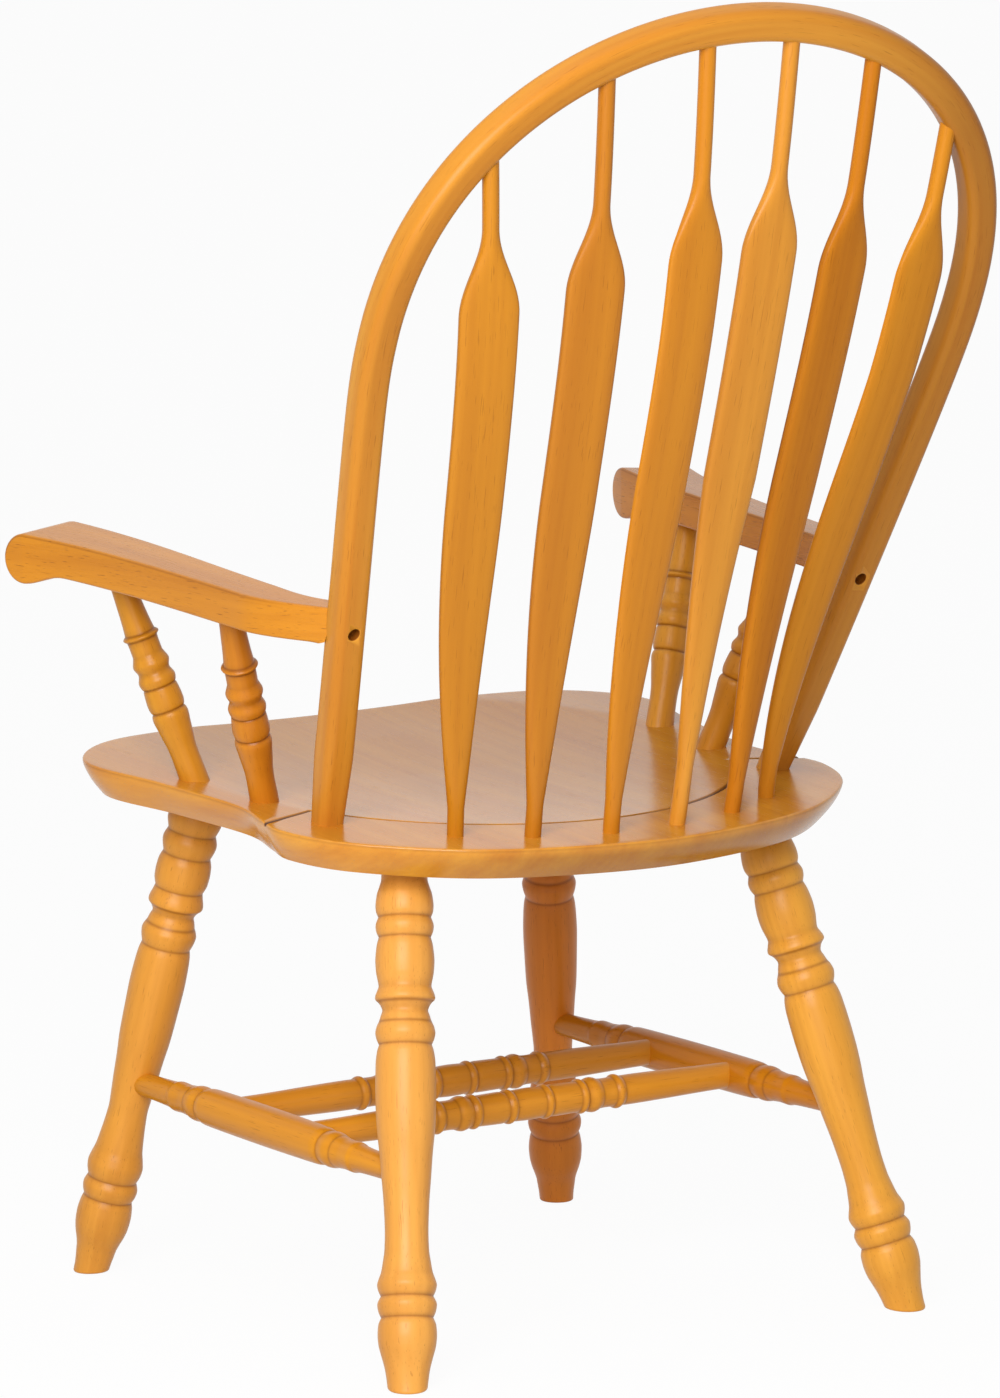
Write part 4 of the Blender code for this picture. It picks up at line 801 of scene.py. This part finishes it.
def arm_rows(side):
    """Side view carried across the width: rows run from the outer face over the eased edge, across, and
    to the inner face; columns run round the side view. Each face closes on the line halfway up. The
    rear end leans with the bow and is coped to its round edges, and the inner side meets it straight
    from the front. A thin line along the upper edges is darker, fading out towards the bow."""
    loop_y, loop_z, half_up, in_y, in_z, at_rear = arm_side_view(*SCROLLS[side])
    quarter = np.radians(np.linspace(0, 90, 6))
    across = np.linspace(1, -1, 13)[1:-1]
    eased = ARM_ARRIS * (1 - np.sin(quarter))
    turned = ARM_ARRIS * (1 - np.cos(quarter))
    inset = np.concatenate((eased, 0 * across, eased[::-1]))
    back_in = np.concatenate((turned, 0 * across, -turned[::-1]))
    share = np.concatenate((np.ones(6), across, -np.ones(6)))
    rows_y = loop_y + inset[:, None] * in_y
    rows_z = loop_z + inset[:, None] * in_z
    half = arm_width(loop_y, SCROLLS[side][0]) / 2 - ARM_ARRIS * (np.abs(share[:, None]) < 1)
    offset = share[:, None] * half - back_in[:, None]
    drawn = np.array((0.0, 0.5))[:, None]
    cap_z = half_up + (rows_z[[0, -1]][:, None] - half_up) * drawn
    cap_y = rows_y[[0, -1]][:, None] + 0 * drawn
    rows_y = np.concatenate((cap_y[0], rows_y, cap_y[1][::-1]))
    rows_z = np.concatenate((cap_z[0], rows_z, cap_z[1][::-1]))
    offset = np.concatenate((offset[[0, 0]], offset, offset[[-1, -1]]))
    slope = (arm_x(rows_y + 0.001) - arm_x(rows_y - 0.001)) / 0.002
    run = np.stack((slope, np.ones_like(slope), 0 * slope), axis=-1)
    run = run / np.linalg.norm(run, axis=-1, keepdims=True)
    outward = np.stack((run[..., 1], -run[..., 0], -ARM_TILT + 0 * slope), axis=-1)
    rows = np.stack((arm_x(rows_y), rows_y, rows_z), axis=-1) + offset[..., None] * outward
    rear = np.clip((rows_y - arm_seat[1] + ARM_END_RUN) / ARM_END_RUN, 0, 1)
    lean = bow_run_at_arm[0] / bow_run_at_arm[2]
    rows[..., 0] += rear ** 2 * (3 - 2 * rear) * (rows_z - arm_seat[2]) * lean
    beside = np.abs(offset) / np.abs(offset[[0]]) * (BOW_WIDTH / 2 + CLEARANCE)
    beside = beside - BOW_WIDTH / 2 + BOW_ROUND
    rounding = BOW_ROUND + CLEARANCE
    deepest = np.where(offset > 0, 1.0, ARM_INNER_COPE) * rounding
    cope = rounding - np.sqrt(rounding ** 2 - np.clip(beside, 0, deepest) ** 2)
    onward = np.where(offset[..., None] > 0, run, (0.0, 1.0, 0.0))
    past = ((rows - arm_seat) @ back_at_arm - cope) / (onward @ back_at_arm)
    back_off = np.where(at_rear, past, np.maximum(0, past + 0.5 * (arm_seat[1] - loop_y)))
    rows = rows - back_off[..., None] * onward
    grain = np.stack((offset, rows_z, rows_y), axis=-1)
    rim = np.array((0.0, 0.0, 0.1, 0.6, 0.6, 0.2, 0.0, 0.0))
    edge = np.concatenate((rim, 0 * across, rim[::-1]))
    upper = np.clip((rows_z - half_up) / 0.004, 0, 1) * (1 - rear)
    return rows * (side, 1, 1) + SEAT_MIDDLE, grain, edge[:, None] * upper


for side_name, side in SIDES:
    tint = {"left": (209, 137, 31), "right": (200, 128, 27)}[side_name]
    arm = skin(f"scrolled_arm_{side_name}", *arm_rows(side))
    fit(arm, f"arm_{side_name}",
        lacquered_wood(f"arm_lacquer_{side_name}", tint, 24.0 + side, gloss=0.28, pores=0.6))


# Arm posts: four short turnings under the arms, a slim neck above and a row of rings below, with round
# ends in the arm and in the seat. The rear pair is the same turning with a shorter neck.
POSTS = (
    # pair, foot on the seat, head along the arm, neck above the thin ring in millimetres, inset of the
    # head from the arm's middle line
    ("front", (0.2370, -0.0888), -0.120, 49.5, 0.0050),
    ("rear", (0.2263, 0.0018), 0.035, 47.2, 0.0038))
POST_TOP_WIDTH = 20.0
POST_TENON = 0.013
POST_TURNING = (
    # distance down from the thin ring and diameter, in millimetres
    (-27.5, 21.9), (-11.5, 23.9), (-2.8, -25.8), (0, 31.0), (2.8, -26.2), (8.5, 25.7), (15.5, 25.7),
    (19.5, 28.2), (24.5, 31.3), (31.5, 27.2), (39, 31.7), (43, 30.2), (45.1, -27.4), (46.9, 29.2),
    (59.5, 31.1), (64, 29.8), (66.3, -27.2), (68.5, 29.8), (71.5, 30.8), (75.5, 30.2), (78.5, 29.2),
    (87.5, 27.0), (99.5, 24.0), (108.5, 23.4), (130, 24.0), (170, 24.0))


def post_rows(low, high, forms, sides=48):
    """The turning down from the arm, cut to length."""
    stop = np.linalg.norm(high - low) + POST_TENON
    along, radius, dark = turning(forms)
    keep = along < stop
    along = np.concatenate(((-POST_TENON, -POST_TENON), along[keep], (stop, stop)))
    radius = np.concatenate(((0.0, radius[0]), radius[keep], (radius[-1], 0.0)))
    dark = np.concatenate(((0.0, 0.0), dark[keep], (0.0, 0.0)))
    return *spun(high, low, along, radius, sides), dark[:, None]


post_tints = {"front_left": (201, 136, 36), "rear_left": (198, 124, 28),
              "front_right": (212, 147, 46), "rear_right": (206, 138, 36)}
for end, foot, head_y, neck, inset in POSTS:
    forms = ((0, POST_TOP_WIDTH),) + tuple((neck + down, wide) for down, wide in POST_TURNING)
    for side_name, side in SIDES:
        name = f"{end}_{side_name}"
        low = np.array((side * foot[0], foot[1], deck_height(foot[1])))
        high = np.array((side * (arm_x(head_y) - inset), head_y, arm_top(head_y) - ARM_THICKNESS))
        post = skin(f"turned_arm_post_{name}", *post_rows(low, high, forms))
        fit(post, f"arm_post_{name}",
            lacquered_wood(f"post_lacquer_{name}", post_tints[name], 30.0 + side + 4 * head_y,
                           polish=0.22))


# Arm screws: one steel screw in each counterbore, from behind through the bow into the end of the arm.
# The head has a conical driving recess.
SCREW_HEAD, SCREW_HEAD_HEIGHT = 0.0076, 0.003
SCREW_SHANK, SCREW_REACH = 0.0042, 0.018


def screw_steel(name):
    """Steel made near black, painted shade of the counterbore, with faint blotches."""
    material, tree, metal = new_finish(name)
    steel = Shade(tree)
    place = steel.node("ShaderNodeTexCoord", {}, {}, "Object")
    blotch = place.node("ShaderNodeTexNoise", {}, {"Vector": place, "Scale": 900.0, "Detail": 2.0})
    # near black steel: painted shade of the hole it sits in
    colour = blotch.node("ShaderNodeMix", {"data_type": "RGBA"},
                         {0: blotch, 6: (0.08, 0.07, 0.06, 1.0), 7: (0.16, 0.14, 0.13, 1.0)}, 2)
    rough = 0.32 + blotch * 0.25
    tree.links.new(colour.socket, metal.inputs["Base Color"])
    tree.links.new(rough.socket, metal.inputs["Roughness"])
    metal.inputs["Metallic"].default_value = 1.0
    return material


for side_name, (mouth, inward) in bores.items():
    head = COUNTERBORE_DEPTH
    neck = head + SCREW_HEAD_HEIGHT
    tip = BOW_DEPTH + SCREW_REACH
    along = np.array((head + 0.0016, head, head, head + 0.0004, neck, neck + 0.0002, tip - 0.003, tip))
    radius = np.array((0.0, 0.0017, SCREW_HEAD / 2 - 0.0004, SCREW_HEAD / 2, SCREW_HEAD / 2,
                       SCREW_SHANK / 2, SCREW_SHANK / 2, 0.0))
    screw = skin(f"wood_screw_{side_name}", *spun(mouth, mouth + inward, along, radius, 32),
                 np.zeros((8, 1)))
    fit(screw, f"arm_screw_{side_name}", screw_steel(f"screw_steel_{side_name}"))


# Floor, lights and camera: a plain white floor that keeps the chair's shadow, an even white room, a
# large soft lamp on the viewer's side and a little to the left, a weak one above the chair, and the
# camera behind the chair's left shoulder.
def white_floor():
    """White paint that shows as mostly plain white to the camera, with the shadow left in."""
    material, tree, paint = new_finish("white_floor")
    paint.inputs["Base Color"].default_value = (0.76, 0.76, 0.76, 1.0)
    paint.inputs["Roughness"].default_value = 0.9
    plain = Shade(tree)
    seen = plain.node("ShaderNodeLightPath", {}, {}, "Is Camera Ray")
    mirrored = plain.node("ShaderNodeLightPath", {}, {}, "Is Glossy Ray")
    glow = plain.node("ShaderNodeEmission", {}, {"Color": (1.0, 1.0, 1.0, 1.0), "Strength": 1.0})
    share = (seen + mirrored) * 0.95
    both = plain.node("ShaderNodeMixShader", {}, {0: share, 1: Shade(tree, paint.outputs[0]), 2: glow})
    tree.links.new(both.socket, tree.nodes["Material Output"].inputs["Surface"])
    return material


floor_mesh = bpy.data.meshes.new("studio_floor")
floor_mesh.from_pydata([(-30, -30, 0), (30, -30, 0), (30, 30, 0), (-30, 30, 0)], [], [(0, 1, 2, 3)])
floor_mesh.materials.append(white_floor())
floor = bpy.data.objects.new("studio_floor", floor_mesh)
bpy.context.scene.collection.objects.link(floor)

room = bpy.data.worlds.new("white_room")
room.use_nodes = True
bpy.context.scene.world = room
sky = Shade(room.node_tree)
seen = sky.node("ShaderNodeLightPath", {}, {}, "Is Camera Ray")
mirrored = sky.node("ShaderNodeLightPath", {}, {}, "Is Glossy Ray")
through = sky.node("ShaderNodeLightPath", {}, {}, "Is Transmission Ray")
shown = sky.math("MINIMUM", seen + mirrored + through, 1.0)
level = 0.36 + shown * 0.64
room_light = room.node_tree.nodes["Background"]
room_light.inputs["Color"].default_value = (1.0, 1.0, 1.0, 1.0)
room.node_tree.links.new(level.socket, room_light.inputs["Strength"])

VIEW_AZIMUTH = np.radians(145.72)
VIEW_ELEVATION = np.radians(9.84)
VIEW_DISTANCE = 7.89
target = SEAT_MIDDLE + (0.0, 0.0, 0.5)
towards_viewer = np.array((np.sin(VIEW_AZIMUTH) * np.cos(VIEW_ELEVATION),
                           -np.cos(VIEW_AZIMUTH) * np.cos(VIEW_ELEVATION), np.sin(VIEW_ELEVATION)))


def soft_lamp(name, place, size, power):
    """Square lamp that faces the chair."""
    lamp = bpy.data.lights.new(name, "AREA")
    lamp.size = size
    lamp.energy = power
    holder = bpy.data.objects.new(name, lamp)
    holder.location = place
    holder.rotation_euler = Vector(place - target).to_track_quat("Z", "Y").to_euler()
    bpy.context.scene.collection.objects.link(holder)


soft_lamp("key_lamp", target + np.array((1.98, 2.05, 1.30)), 1.8, 107.0)
soft_lamp("top_lamp", target + np.array((0.8, 0.2, 2.6)), 2.0, 14.0)

camera = bpy.data.cameras.new("photo_camera")
camera.lens = 242.89
camera.sensor_width = 36.0
camera.shift_x = 0.00711
camera.shift_y = 0.00593
viewer = bpy.data.objects.new("photo_camera", camera)
viewer.location = target + VIEW_DISTANCE * towards_viewer
viewer.rotation_euler = Vector(towards_viewer).to_track_quat("Z", "Y").to_euler()
bpy.context.scene.collection.objects.link(viewer)
bpy.context.scene.camera = viewer
bpy.context.scene.view_settings.view_transform = "Standard"

bpy.context.view_layer.update()
